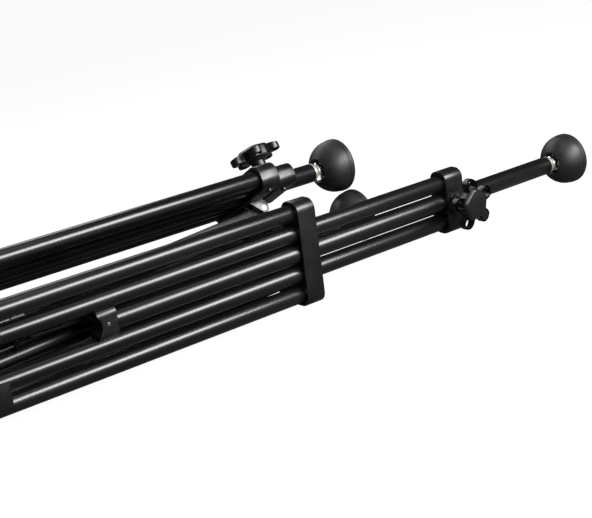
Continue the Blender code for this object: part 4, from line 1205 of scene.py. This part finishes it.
ARM_HALF_WIDTH, ARM_HALF_DEPTH = 0.0050, 0.0040
ARM_SHOULDER = 0.0160  # where the eye's tongue ends and the full bar begins
ARM_EYE = 0.0030  # half width of the eye
ARM_EYE_RADIUS = 0.0055
ARM_FORK = 0.0020  # half gap of the fork
ARM_FORK_LENGTH = 0.0300
ARM_SLOT = 0.0034  # half width of the lightening slots
ARM_SLOTS = (
    (0.030, 0.185, 0.0026, 0.01),
    (0.030, 0.185, -0.01, -0.0026),
    (0.240, 0.264, 0.0026, 0.01),
)
ARM_CLAMP = (0.1950, 0.2320)
ARM_CLAMP_HALVES = (0.0086, 0.0062)
ARM_SCREW_SPREAD = 0.0100
HUB_CORE = 0.0042
HUB_TAB = (0.0068, 0.0014, 0.0203)  # half length, half thickness, reach


def make_spreader():
    wide, deep = ARM_HALF_WIDTH, ARM_HALF_DEPTH
    length = local("leg_1_spreader_arm", arm_spot(1))[1].x - deep
    bar = block((ARM_SHOULDER, -wide, -deep), (length, wide, deep), 0.0010, "x", 3)
    tip = rod(deep, -wide, wide, "y", (length, 0), 40)
    eye = rod(ARM_EYE_RADIUS, -ARM_EYE, ARM_EYE, "y", sides=40)
    tongue = block((0, -ARM_EYE, -0.0038), (ARM_SHOULDER + 0.0020, ARM_EYE, 0.0038))
    fused(bar, tip, eye, tongue)
    slots = [
        block((start, -ARM_SLOT, low), (end, ARM_SLOT, high), 0.0016, "z", 4)
        for start, end, low, high in ARM_SLOTS
    ]
    carved(
        bar,
        block(
            (length - ARM_FORK_LENGTH, -ARM_FORK, -PAST_ALL), (length + PAST_ALL, ARM_FORK, PAST_ALL)
        ),
        rod(SPREADER_PIN_HOLE + 0.0001, -PAST_ALL, PAST_ALL, "y", sides=24),
        *slots,
    )
    softened(bar, 0.0004, 2)
    start, end = ARM_CLAMP
    wide, deep = ARM_CLAMP_HALVES
    middle = (start + end) / 2
    clamp = block((start, -wide, -deep), (end, wide, deep), 0.0025, "x", 5)
    carved(clamp, block((middle - 0.0010, -PAST_ALL, 0.0043), (middle + 0.0010, PAST_ALL, PAST_ALL)))
    softened(clamp, 0.0006, 3)
    arm = together(bar, clamp)
    on_each_leg(
        arm, "spreader_strut", "arm", casting_black, "black_casting", arm_spot, "spreader_arm"
    )

    studs = []
    for x in (middle - ARM_SCREW_SPREAD, middle + ARM_SCREW_SPREAD):
        studs.append(moved(cap_screw(0.0026, 0.0012, 0.002), x, 0, deep))
    rivet = moved(
        lathe([(0, 0.0009), (0.0018, 0.0007), (0.0024, 0), (0, 0)], 32), length, -0.0050, 0, 90, "X"
    )
    studs.append(rivet)
    on_each_leg(together(*studs), "strut_screws", "arm", steel_plated, "plated_steel", arm_spot)

    hub_low, hub_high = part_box("spreader_hub")
    axis = Vector(joints["hub_slide"]["axis"])
    place = place_of((hub_low + hub_high) / 2, axis, leg_places[1].col[2].xyz)
    low, high = extent("spreader_hub", place)
    centre = Vector(((low.x + high.x) / 2, 0, 0))
    core = rod(HUB_CORE, low.x, high.x, "x", sides=40)
    half_length, half_thickness, reach = HUB_TAB
    tabs = []
    for leg in LEGS:
        out = place.inverted().to_3x3() @ leg_places[leg].col[2].xyz
        angle = degrees(atan2(-out.y, out.z))
        tab = block(
            (centre.x - half_length, -half_thickness, 0),
            (centre.x + half_length, half_thickness, reach),
            0.0020,
            "y",
            4,
        )
        tabs.append(moved(tab, turn=angle, axis="X"))
    hub = fused(core, *tabs)
    return hub, place


# ---------------------------------------------------------------- shoulder and head: places

crown_up = Vector(joints["pan_turn"]["axis"])
tilt_axis = Vector(joints["tilt_swing"]["axis"])
level_axis = Vector(joints["levelling"]["axis"])
crown_place = place_of(joints["levelling"]["pos_m"], level_axis.cross(crown_up), crown_up)
pan_place = place_of(joints["pan_turn"]["pos_m"], tilt_axis.cross(crown_up), crown_up)
tilt_place = place_of(joints["tilt_swing"]["pos_m"], tilt_axis.cross(crown_up), crown_up)


def beside_tilt(joint, x_axis):
    """On a joint whose axis runs along the tilt line, with x the way its lever or bar points."""
    here = Vector(joints[joint]["pos_m"])
    across = tilt_place.col[1].xyz
    along = (x_axis - across * x_axis.dot(across)).normalized()
    return place_of(here, along, along.cross(across))


pan_x, pan_up = pan_place.col[0].xyz, pan_place.col[2].xyz
bar_droop = radians(20)
bar_place = beside_tilt("pan_bar_swing", -pan_x * cos(bar_droop) - pan_up * sin(bar_droop))
rosette_place = beside_tilt("pan_bar_swing", pan_x)
pan_lever_place = beside_tilt("pan_lever_turn", pan_x)
tilt_lever_place = beside_tilt("tilt_lever_turn", -pan_up)
plate_lever_place = beside_tilt("plate_lever_turn", pan_x)


SHOULDER_DISC = (-0.0440, -0.0340)  # heights from the ball's centre
SHOULDER_RIM = 0.0500
SHOULDER_DISC_RADIUS = 0.0658
SHOULDER_EAR = (0.0206, 0.0306)  # across the leg
SHOULDER_EAR_RADIUS = 0.0123
BALL_RADIUS = 0.0367
BALL_FLANGE = (0.0055, 0.0120)
BALL_FLANGE_RADIUS = 0.0430
PAN_SPIGOT = 0.0120
PAN_SPIGOT_HEIGHT = 0.0180
STUD_PITCH = 0.00175
STUD_CREST, STUD_ROOT = 0.0062, 0.0054


def make_shoulder():
    disc_low, disc_high = SHOULDER_DISC
    rim, disc = SHOULDER_RIM, SHOULDER_DISC_RADIUS
    hinge = crown_place.inverted() @ Vector(joints["leg_1_spread"]["pos_m"])
    hinge_radius, drop = sqrt(hinge.x**2 + hinge.y**2), -hinge.z
    shell = lathe(
        [
            (0.0378, -0.0004),
            (0.0388, 0),
            (rim - 0.0012, 0),
            (rim, -0.0010),
            (rim + 0.0008, -0.0045),
            (rim + 0.0004, -0.0055),
            (rim + 0.0004, -0.0075),
            (rim + 0.0012, -0.0085),
            (rim + 0.0022, disc_high + 0.0120),
            (rim + 0.0045, disc_high + 0.0060),
            (rim + 0.0090, disc_high + 0.0028),
            (disc - 0.0018, disc_high + 0.0016),
            *arc(0.0018, 80, 0, 4, (disc - 0.0018, disc_high - 0.0002)),
            *arc(0.0018, 0, -90, 4, (disc - 0.0018, disc_low + 0.0020)),
            (0.0405, disc_low + 0.0002),
            (0.0385, disc_low + 0.0010),
            *[(r, z) for r, z in arc(0.0434, -29, -64, 12)],
            (0.0191, -0.0385),
            (0.0191, -0.0330),
            *arc(0.0378, -59.6, -0.6, 16),
        ],
        FINE,
    )
    ears = []
    for leg in LEGS:
        here = crown_place.inverted() @ Vector(joints[f"leg_{leg}_spread"]["pos_m"])
        turn = degrees(atan2(here.y, here.x))
        for side in (-1, 1):
            left, right = sorted((side * SHOULDER_EAR[0], side * SHOULDER_EAR[1]))
            half_ear = SHOULDER_EAR_RADIUS - 0.0004
            outline = [
                *arc(SHOULDER_EAR_RADIUS, -180, 0, 20, (hinge_radius, -drop)),
                (hinge_radius + half_ear, disc_low + 0.0030),
                (hinge_radius - half_ear, disc_low + 0.0030),
            ]
            ear = plate([[(x, -z) for x, z in outline]], -right, -left, 0.0008, 2)
            ear = moved(ear, turn=-90, axis="X")
            ears.append(moved(ear, turn=turn))
    casting = fused(shell, *ears)
    for leg in LEGS:
        here = crown_place.inverted() @ Vector(joints[f"leg_{leg}_spread"]["pos_m"])
        turn = degrees(atan2(here.y, here.x))
        hole = moved(rod(0.0052, -0.035, 0.035, "y", (hinge_radius, -drop), 40), turn=turn)
        rib_hole = rod(0.0035, disc_low - 0.001, disc_high + 0.02, "z", (rim + 0.0095, 0), 32)
        carved(casting, hole, moved(rib_hole, turn=turn + 60))
    settle(casting, "bowl_casting", crown_place, "crown", casting_black, "black_casting", "shoulder")


def make_half_ball():
    low, high = BALL_FLANGE
    flange, spigot, top = BALL_FLANGE_RADIUS, PAN_SPIGOT, high + PAN_SPIGOT_HEIGHT
    profile = [
        (0, top),
        (spigot - 0.0006, top),
        (spigot, top - 0.0006),
        (spigot, high),
        (flange - 0.0014, high),
        *arc(0.0012, 80, 0, 4, (flange - 0.0012, high - 0.0013)),
        (flange, low + 0.0008),
        (flange - 0.0008, low),
        *arc(BALL_RADIUS, 8.6, -54.6, 24),
        (STUD_CREST, -0.0300),
        (STUD_CREST, -0.0330),
    ]
    pitch, crest, root, z = STUD_PITCH, STUD_CREST, STUD_ROOT, -0.0360
    while z > -0.0745:
        profile += [
            (root, z), (crest, z - pitch * 0.4), (crest, z - pitch * 0.55), (root, z - pitch * 0.95)
        ]
        z -= pitch
    profile += [(0.0050, -0.0772), (0.0042, -0.0780), (0, -0.0780)]
    ball_piece = lathe(profile, FINE)
    settle(
        ball_piece,
        "levelling_ball",
        crown_place,
        "level",
        alloy_dark,
        "anodised_aluminium",
        "half_ball",
    )


def grip_outline(radius, waist, lobes, points=144):
    """A lobed rim, with broad rounded lobes and narrow valleys."""
    outline = []
    for i in range(points):
        a = 2 * pi * i / points
        swing = (0.5 + 0.5 * cos(lobes * a)) ** 0.55
        r = waist + (radius - waist) * swing
        outline.append((r * cos(a), r * sin(a)))
    return outline


def make_clamp_knob():
    low, high = -0.0870, -0.0620
    grip = plate([grip_outline(0.0229, 0.0186, 6)], low + 0.0002, high, 0.0020, 4)
    seat = 0.0375 + 0.0060 + 0.0008
    cup = lathe(
        [
            *arc(seat, -82, -47.5, 14),
            (0.0299, -0.0330),
            (0.0299, -0.0385),
            (0.0285, -0.0402),
            (0.0150, -0.0530),
            (0.0122, -0.0560),
            (0.0120, high - 0.0010),
            (0.0066, high - 0.0010),
            (0.0066, -0.0439),
        ],
        FINE,
    )
    knob = together(grip, cup)
    carved(knob, rod(0.0064, low - 0.001, 0.0, "z", sides=48))
    settle(
        knob,
        "bowl_clamp",
        crown_place,
        "bowl_knob",
        plastic_black,
        "black_plastic",
        "bowl_clamp_knob",
        smooth=40,
    )


PAN_DRUM = (0.0124, 0.0440, 0.0399)  # foot, top and radius
TILT_HEIGHT = 0.0900
TILT_DRUM = 0.0249
TILT_DRUM_HALF_WIDTH = 0.0300
TILT_SPIGOT = 0.0080
SCALE_TICKS = 72
TICKS_TO_A_LONG_ONE = 6


def make_pan_body():
    low, top, radius = PAN_DRUM
    wide, axis = TILT_DRUM_HALF_WIDTH, TILT_HEIGHT
    drum = lathe(
        [
            (0, top),
            (radius - 0.0040, top),
            *arc(0.0028, 85, 5, 6, (radius - 0.0028, top - 0.0028)),
            (radius, low + 0.0105),
            (radius - 0.0016, low + 0.0095),
            (radius - 0.0016, low + 0.0065),
            (radius, low + 0.0055),
            (radius, low + 0.0010),
            (radius - 0.0010, low),
            (0, low),
        ],
        128,
    )
    neck = block((-0.0200, -0.0260, top - 0.002), (0.0200, 0.0260, axis), 0.0050, "z", 6)
    softened(neck, 0.0012, 3, 50)
    cross = rod(TILT_DRUM, -wide, wide, "y", (0, axis), FINE)
    softened(cross, 0.0015, 3)
    ends = rod(TILT_SPIGOT, -wide - 0.0080, wide + 0.0080, "y", (0, axis), 48)
    body = fused(drum, neck, cross, ends)
    ticks = []
    for i in range(SCALE_TICKS):
        long = i % TICKS_TO_A_LONG_ONE == 0
        reach = 0.0042 if long else 0.0025
        tick = block((radius - 0.0004, -0.0003, 0.0268), (radius + 0.0010, 0.0003, 0.0268 + reach))
        ticks.append(moved(tick, turn=360 / SCALE_TICKS * i))
    carved(
        body,
        rod(0.0123, 0, 0.0303, "z", sides=64),
        rod(0.0033, -radius - 0.002, -radius + 0.012, "y", (0, 0.0280), 32),
        together(*ticks),
    )
    settle(body, "pan_housing", pan_place, "pan", casting_black, "black_casting", "pan_body")

    screws = []
    for angle in (40, 140, 220, 320):
        a = radians(angle)
        screws.append(moved(cap_screw(0.0030, 0.0024, 0.002), 0.0330 * cos(a), 0.0330 * sin(a), top))
    settle(together(*screws), "pan_screws", pan_place, "pan", steel_plated, "plated_steel")

    low, high = local("bubble_level", pan_place)
    x, y = (low.x + high.x) / 2, (low.y + high.y) / 2
    r = (high.x - low.x) / 2
    ring = lathe(
        [
            (r - 0.0012, low.z + 0.0022),
            (r - 0.0010, high.z - 0.0002),
            (r - 0.0004, high.z),
            (r, high.z - 0.0005),
            (r, low.z),
            (r - 0.0012, low.z),
        ],
        64,
    )
    settle(moved(ring, x, y), "level_ring", pan_place, "pan", alloy_dark, "anodised_aluminium")
    vial = lathe(
        [
            (0, high.z - 0.0004),
            *arc(0.0022, 70, 10, 5, (r - 0.0035, high.z - 0.0026)),
            (r - 0.0012, low.z + 0.0001),
            (0, low.z + 0.0001),
        ],
        64,
    )
    settle(
        moved(vial, x, y), "level_vial", pan_place, "pan", fluid_green, "level_vial", "bubble_level"
    )


def make_tilt_cradle():
    inner, outer = 0.0305, 0.0420
    rail_top = 0.0380 + 0.0068
    length = 0.0450
    parts = []
    for side in (-1, 1):
        low, high = sorted((side * inner, side * outer))
        cheek = plate(
            [[*arc(0.0269, -180, 0, 32), (0.0255, 0.0285), (-0.0255, 0.0285)]],
            -high,
            -low,
            0.0014,
            3,
        )
        cheek = moved(cheek, turn=90, axis="X")
        parts.append(cheek)
        wall = sorted((side * 0.0243, side * 0.0300))
        lip = sorted((side * 0.0206, side * 0.0300))
        rail = fused(
            block((-length, wall[0], 0.0370), (length, wall[1], rail_top)),
            block((-length, lip[0], rail_top - 0.0024), (length, lip[1], rail_top)),
        )
        parts.append(softened(rail, 0.0005, 2))
    platform = softened(
        block((-length, -outer, 0.0280), (length, outer, 0.0380), 0.0060, "z", 6), 0.0010, 3
    )
    rosette = rod(0.0130, inner, outer + 0.0008, "y", (-0.0340, 0.0150), FINE)
    bracket = block((-0.0340, inner, 0.0040), (-0.0100, outer, 0.0290))
    body = fused(platform, *parts, bracket, rosette)
    teeth = []
    for i in range(36):
        tooth = block((0.0060, outer + 0.0006, -0.00045), (0.0128, outer + 0.0019, 0.00045))
        teeth.append(moved(moved(tooth, turn=10 * i, axis="Y"), -0.0340, 0, 0.0150))
    carved(
        body,
        rod(0.0083, -0.0383, 0.0383, "y", sides=48),
        rod(0.0043, inner - 0.001, 0.0800, "y", (-0.0340, 0.0150), 32),
        rod(0.0033, -outer - 0.001, -outer + 0.006, "y", (0.0150, 0.0330), 32),
        rod(0.0033, -outer - 0.001, -outer + 0.0028, "y", (0, 0), 32),
    )
    body = together(body, *teeth)
    settle(
        body, "tilt_cradle_casting", tilt_place, "tilt", casting_black, "black_casting", "tilt_cradle"
    )

    cap = lathe(
        [(0, 0.0022), (0.0130, 0.0020), (0.0150, 0.0010), (0.0155, -0.0005), (0, -0.0005)], 64
    )
    cap = moved(cap, 0, 0.0418, 0, -90, "X")
    settle(cap, "tilt_cap", tilt_place, "tilt", alloy_dark, "anodised_aluminium")


def make_camera_plate():
    base, top = 0.0384, 0.0504
    flange = softened(
        block((-0.0400, -0.0238, base), (0.0400, 0.0238, base + 0.0036), 0.0030, "z", 4), 0.0006, 2
    )
    body = softened(
        block((-0.0400, -0.0200, base + 0.001), (0.0400, 0.0200, top - 0.0014), 0.0040, "z", 5),
        0.0007,
        2,
    )
    plate_piece = fused(flange, body)
    carved(
        plate_piece,
        rod(0.0083, base - 0.001, base + 0.0036, "z", (0.0050, 0), 48),
        block((-0.0180, -0.0034, base - 0.001), (0.0240, 0.0034, top + 0.001), 0.0033, "z", 6),
    )
    settle(
        plate_piece,
        "quick_plate",
        tilt_place,
        "plate",
        alloy_dark,
        "anodised_aluminium",
        "camera_plate",
    )
    pads = []
    for low, high in ((-0.0385, -0.0205), (0.0265, 0.0385)):
        pad = block((low, -0.0185, top - 0.0016), (high, 0.0185, top), 0.0022, "z", 4)
        pads.append(softened(pad, 0.0004, 2))
    settle(together(*pads), "plate_pads", tilt_place, "plate", cork_dark, "black_rubber")

    low, high = local("camera_screw", tilt_place)
    x = (low.x + high.x) / 2
    head = low.z + 0.0030
    pitch, z = 0.00127, high.z - 0.0008
    profile = [(0, high.z), (0.0024, high.z), (0.0031, high.z - 0.0007)]
    while z - pitch > head + 0.0012:
        profile += [(0.0032, z - 0.3 * pitch), (0.0027, z - 0.85 * pitch)]
        z -= pitch
    profile += [
        (0.0027, head),
        (0.0074, head),
        (0.0080, head - 0.0006),
        (0.0080, low.z + 0.0005),
        (0.0075, low.z),
        (0, low.z),
    ]
    screw = lathe(profile, 64)
    carved(screw, block((-0.0075, -0.0007, low.z - 0.001), (0.0075, 0.0007, low.z + 0.0014)))
    settle(
        moved(screw, x),
        "camera_bolt",
        tilt_place,
        "screw",
        steel_plated,
        "plated_steel",
        "camera_screw",
    )


def lever(reach, pin):
    """A lock lever's boss, pin and waisted arm, along x on the head's left side."""
    boss = lathe(
        [
            (0, 0.0090),
            (0.0050, 0.0090),
            *arc(0.0016, 70, 0, 4, (0.0054, 0.0073)),
            (0.0070, 0.0008),
            (0.0066, 0.0003),
            (0, 0.0003),
        ],
        48,
    )
    boss = moved(boss, turn=90, axis="X")
    outline = [(-0.0010, 0.0062), (0.0060, 0.0036), (reach * 0.55, 0.0030)]
    tip = arc(0.0039, 80, -80, 12, (reach - 0.0039, 0))
    outline = [*outline, *tip, *[(x, -y) for x, y in reversed(outline)]]
    arm = plate([outline], 0.0030, 0.0089, 0.0012, 4)
    arm = moved(arm, turn=90, axis="X")
    shaft = rod(0.0029, -0.0010, pin, "y", sides=24)
    return together(boss, arm, shaft)


def make_levers():
    settle(
        lever(0.0300, 0.0100),
        "pan_lever_arm",
        pan_lever_place,
        "pan_lever",
        plastic_black,
        "black_plastic",
        "pan_lock_lever",
    )
    settle(
        lever(0.0340, 0.0024),
        "tilt_lever_arm",
        tilt_lever_place,
        "tilt_lever",
        plastic_black,
        "black_plastic",
        "tilt_lock_lever",
    )
    settle(
        lever(0.0260, 0.0050),
        "plate_lever_arm",
        plate_lever_place,
        "plate_lever",
        plastic_red,
        "black_plastic",
        "plate_lock_lever",
    )


def make_pan_bar():
    low, high = local("pan_bar", bar_place)
    start, end, middle = low.y, high.y, (low.y + high.y) / 2
    length = high.x
    eye = softened(rod(0.0130, start + 0.0003, end, "y", sides=FINE), 0.0010, 3)
    shaft = rod(0.0075, 0.0090, length, "x", (middle, 0), FINE)
    body = fused(eye, shaft)
    carved(body, rod(0.0043, start - 0.001, end + 0.001, "y", sides=32))
    settle(body, "pan_bar_rod", bar_place, "bar", alloy_dark, "anodised_aluminium", "pan_bar")

    low, high = local("pan_bar_grip", bar_place)
    r = (high.z - low.z) / 2 - 0.0005
    profile = [
        (0, high.x), (r - 0.0050, high.x), *arc(0.0046, 75, 5, 6, (r - 0.0046, high.x - 0.0046))
    ]
    for i in range(7):
        x = high.x - 0.020 - i * 0.0125
        profile += [
            (r, x + 0.0016), (r - 0.0009, x + 0.0006), (r - 0.0009, x - 0.0006), (r, x - 0.0016)
        ]
    profile += [
        (r, low.x + 0.0040),
        *arc(0.0030, -10, -80, 5, (r - 0.0030, low.x + 0.0030)),
        (0.0079, low.x),
        (0.0079, length + 0.0003),
        (0, length + 0.0003),
    ]
    grip = moved(lathe(profile, FINE, "x"), 0, middle, 0)
    settle(grip, "foam_grip", bar_place, "bar", foam_black, "black_rubber", "pan_bar_grip", smooth=45)

    low, high = local("pan_bar_knob", rosette_place)
    foot = end + 0.0003
    knob = plate([grip_outline(0.0159, 0.0126, 5)], foot, high.y, 0.0018, 4)
    knob = moved(knob, turn=-90, axis="X")
    stud = rod(0.0040, low.y + 0.0002, foot + 0.001, "y", sides=32)
    cap = moved(
        lathe([(0, 0.0004), (0.0070, 0.0002), (0.0078, -0.0010), (0, -0.0010)], 48),
        0,
        high.y - 0.0005,
        0,
        -90,
        "X",
    )
    settle(
        together(knob, stud, cap),
        "bar_lock_knob",
        rosette_place,
        "bar_knob",
        plastic_black,
        "black_plastic",
        "pan_bar_knob",
        smooth=40,
    )


# ---------------------------------------------------------------- making the tripod

make_tubes()
make_upper_collars()
make_lower_collars()
make_lock_knobs()
make_bridges_and_guides()
make_yokes()
make_feet()
hub, hub_place = make_spreader()
settle(
    hub, "spreader_centre", hub_place, "spreader_hub", casting_black, "black_casting", "spreader_hub"
)
make_shoulder()
make_half_ball()
make_clamp_knob()
make_pan_body()
make_tilt_cradle()
make_camera_plate()
make_levers()
make_pan_bar()

# ---------------------------------------------------------------- floor, light and camera


def studio_white():
    """A white floor to the eye that the object's reflections see as dark grey."""
    s = Surface("studio_floor")
    seen = s.node("ShaderNodeLightPath", output=0)
    grey = s.node("ShaderNodeBsdfDiffuse", None, {"Color": (0.10, 0.10, 0.10, 1.0)})
    pale = s.node("ShaderNodeBsdfDiffuse", None, {"Color": (0.80, 0.80, 0.80, 1.0)})
    lit = s.node("ShaderNodeEmission", None, {"Color": (1.0, 1.0, 1.0, 1.0), "Strength": 1.06})
    shown = s.node("ShaderNodeMixShader", None, {0: 0.90, 1: pale, 2: lit})
    s.node_out(s.node("ShaderNodeMixShader", None, {0: seen, 1: grey, 2: shown}))
    return s.material


def make_floor():
    put_down()
    bpy.ops.mesh.primitive_plane_add(size=40, location=(0, 0, 0))
    floor = bpy.context.object
    bpy.ops.object.transform_apply(location=True, rotation=True, scale=True)
    floor.name = "studio_floor"
    floor.data.materials.append(studio_white())


def softbox(name, place, aim, width, height, power):
    data = bpy.data.lights.new(name, "AREA")
    data.shape = "RECTANGLE"
    data.size = width
    data.size_y = height
    data.energy = power
    lamp = bpy.data.objects.new(name, data)
    bpy.context.scene.collection.objects.link(lamp)
    lamp.location = place
    lamp.rotation_euler = (Vector(aim) - Vector(place)).to_track_quat("-Z", "Y").to_euler()
    return lamp


def make_world():
    world = bpy.data.worlds.new("studio")
    world.use_nodes = True
    tree = world.node_tree
    tree.nodes.clear()
    path = tree.nodes.new("ShaderNodeLightPath")
    seen = tree.nodes.new("ShaderNodeBackground")
    seen.inputs["Color"].default_value = (1, 1, 1, 1)
    felt = tree.nodes.new("ShaderNodeBackground")
    felt.inputs["Color"].default_value = (1, 1, 1, 1)
    felt.inputs["Strength"].default_value = 0.03
    mixed = tree.nodes.new("ShaderNodeMixShader")
    output = tree.nodes.new("ShaderNodeOutputWorld")
    tree.links.new(path.outputs["Is Camera Ray"], mixed.inputs[0])
    tree.links.new(felt.outputs[0], mixed.inputs[1])
    tree.links.new(seen.outputs[0], mixed.inputs[2])
    tree.links.new(mixed.outputs[0], output.inputs["Surface"])
    bpy.context.scene.world = world


def make_camera():
    data = bpy.data.cameras.new("camera")
    data.lens = CAMERA_LENS
    data.sensor_width = 36
    camera = bpy.data.objects.new("camera", data)
    camera.location = CAMERA_PLACE
    camera.rotation_euler = [radians(a) for a in CAMERA_TURN]
    bpy.context.scene.collection.objects.link(camera)
    bpy.context.scene.camera = camera


make_floor()
make_world()
make_camera()
LIT_MIDDLE = Vector((0.2, 0.0, 0.1))
KEY_WAY = Vector((0.57, -0.75, 0.33)).normalized()
KEY_DISTANCE = 2.0
key_aim = LIT_MIDDLE - Vector((0.95, 0, 0))  # its far end stops short of the foot, where the sheen dies away
softbox("long_softbox", key_aim + KEY_DISTANCE * KEY_WAY, key_aim, 2.4, 0.55, 85)
softbox("rear_light", (0.2, 1.6, 1.4), LIT_MIDDLE, 2.5, 0.8, 22)
softbox("top_light", (0.2, -0.2, 2.0), LIT_MIDDLE, 1.6, 1.0, 7)
bpy.context.scene.view_settings.view_transform = "Standard"
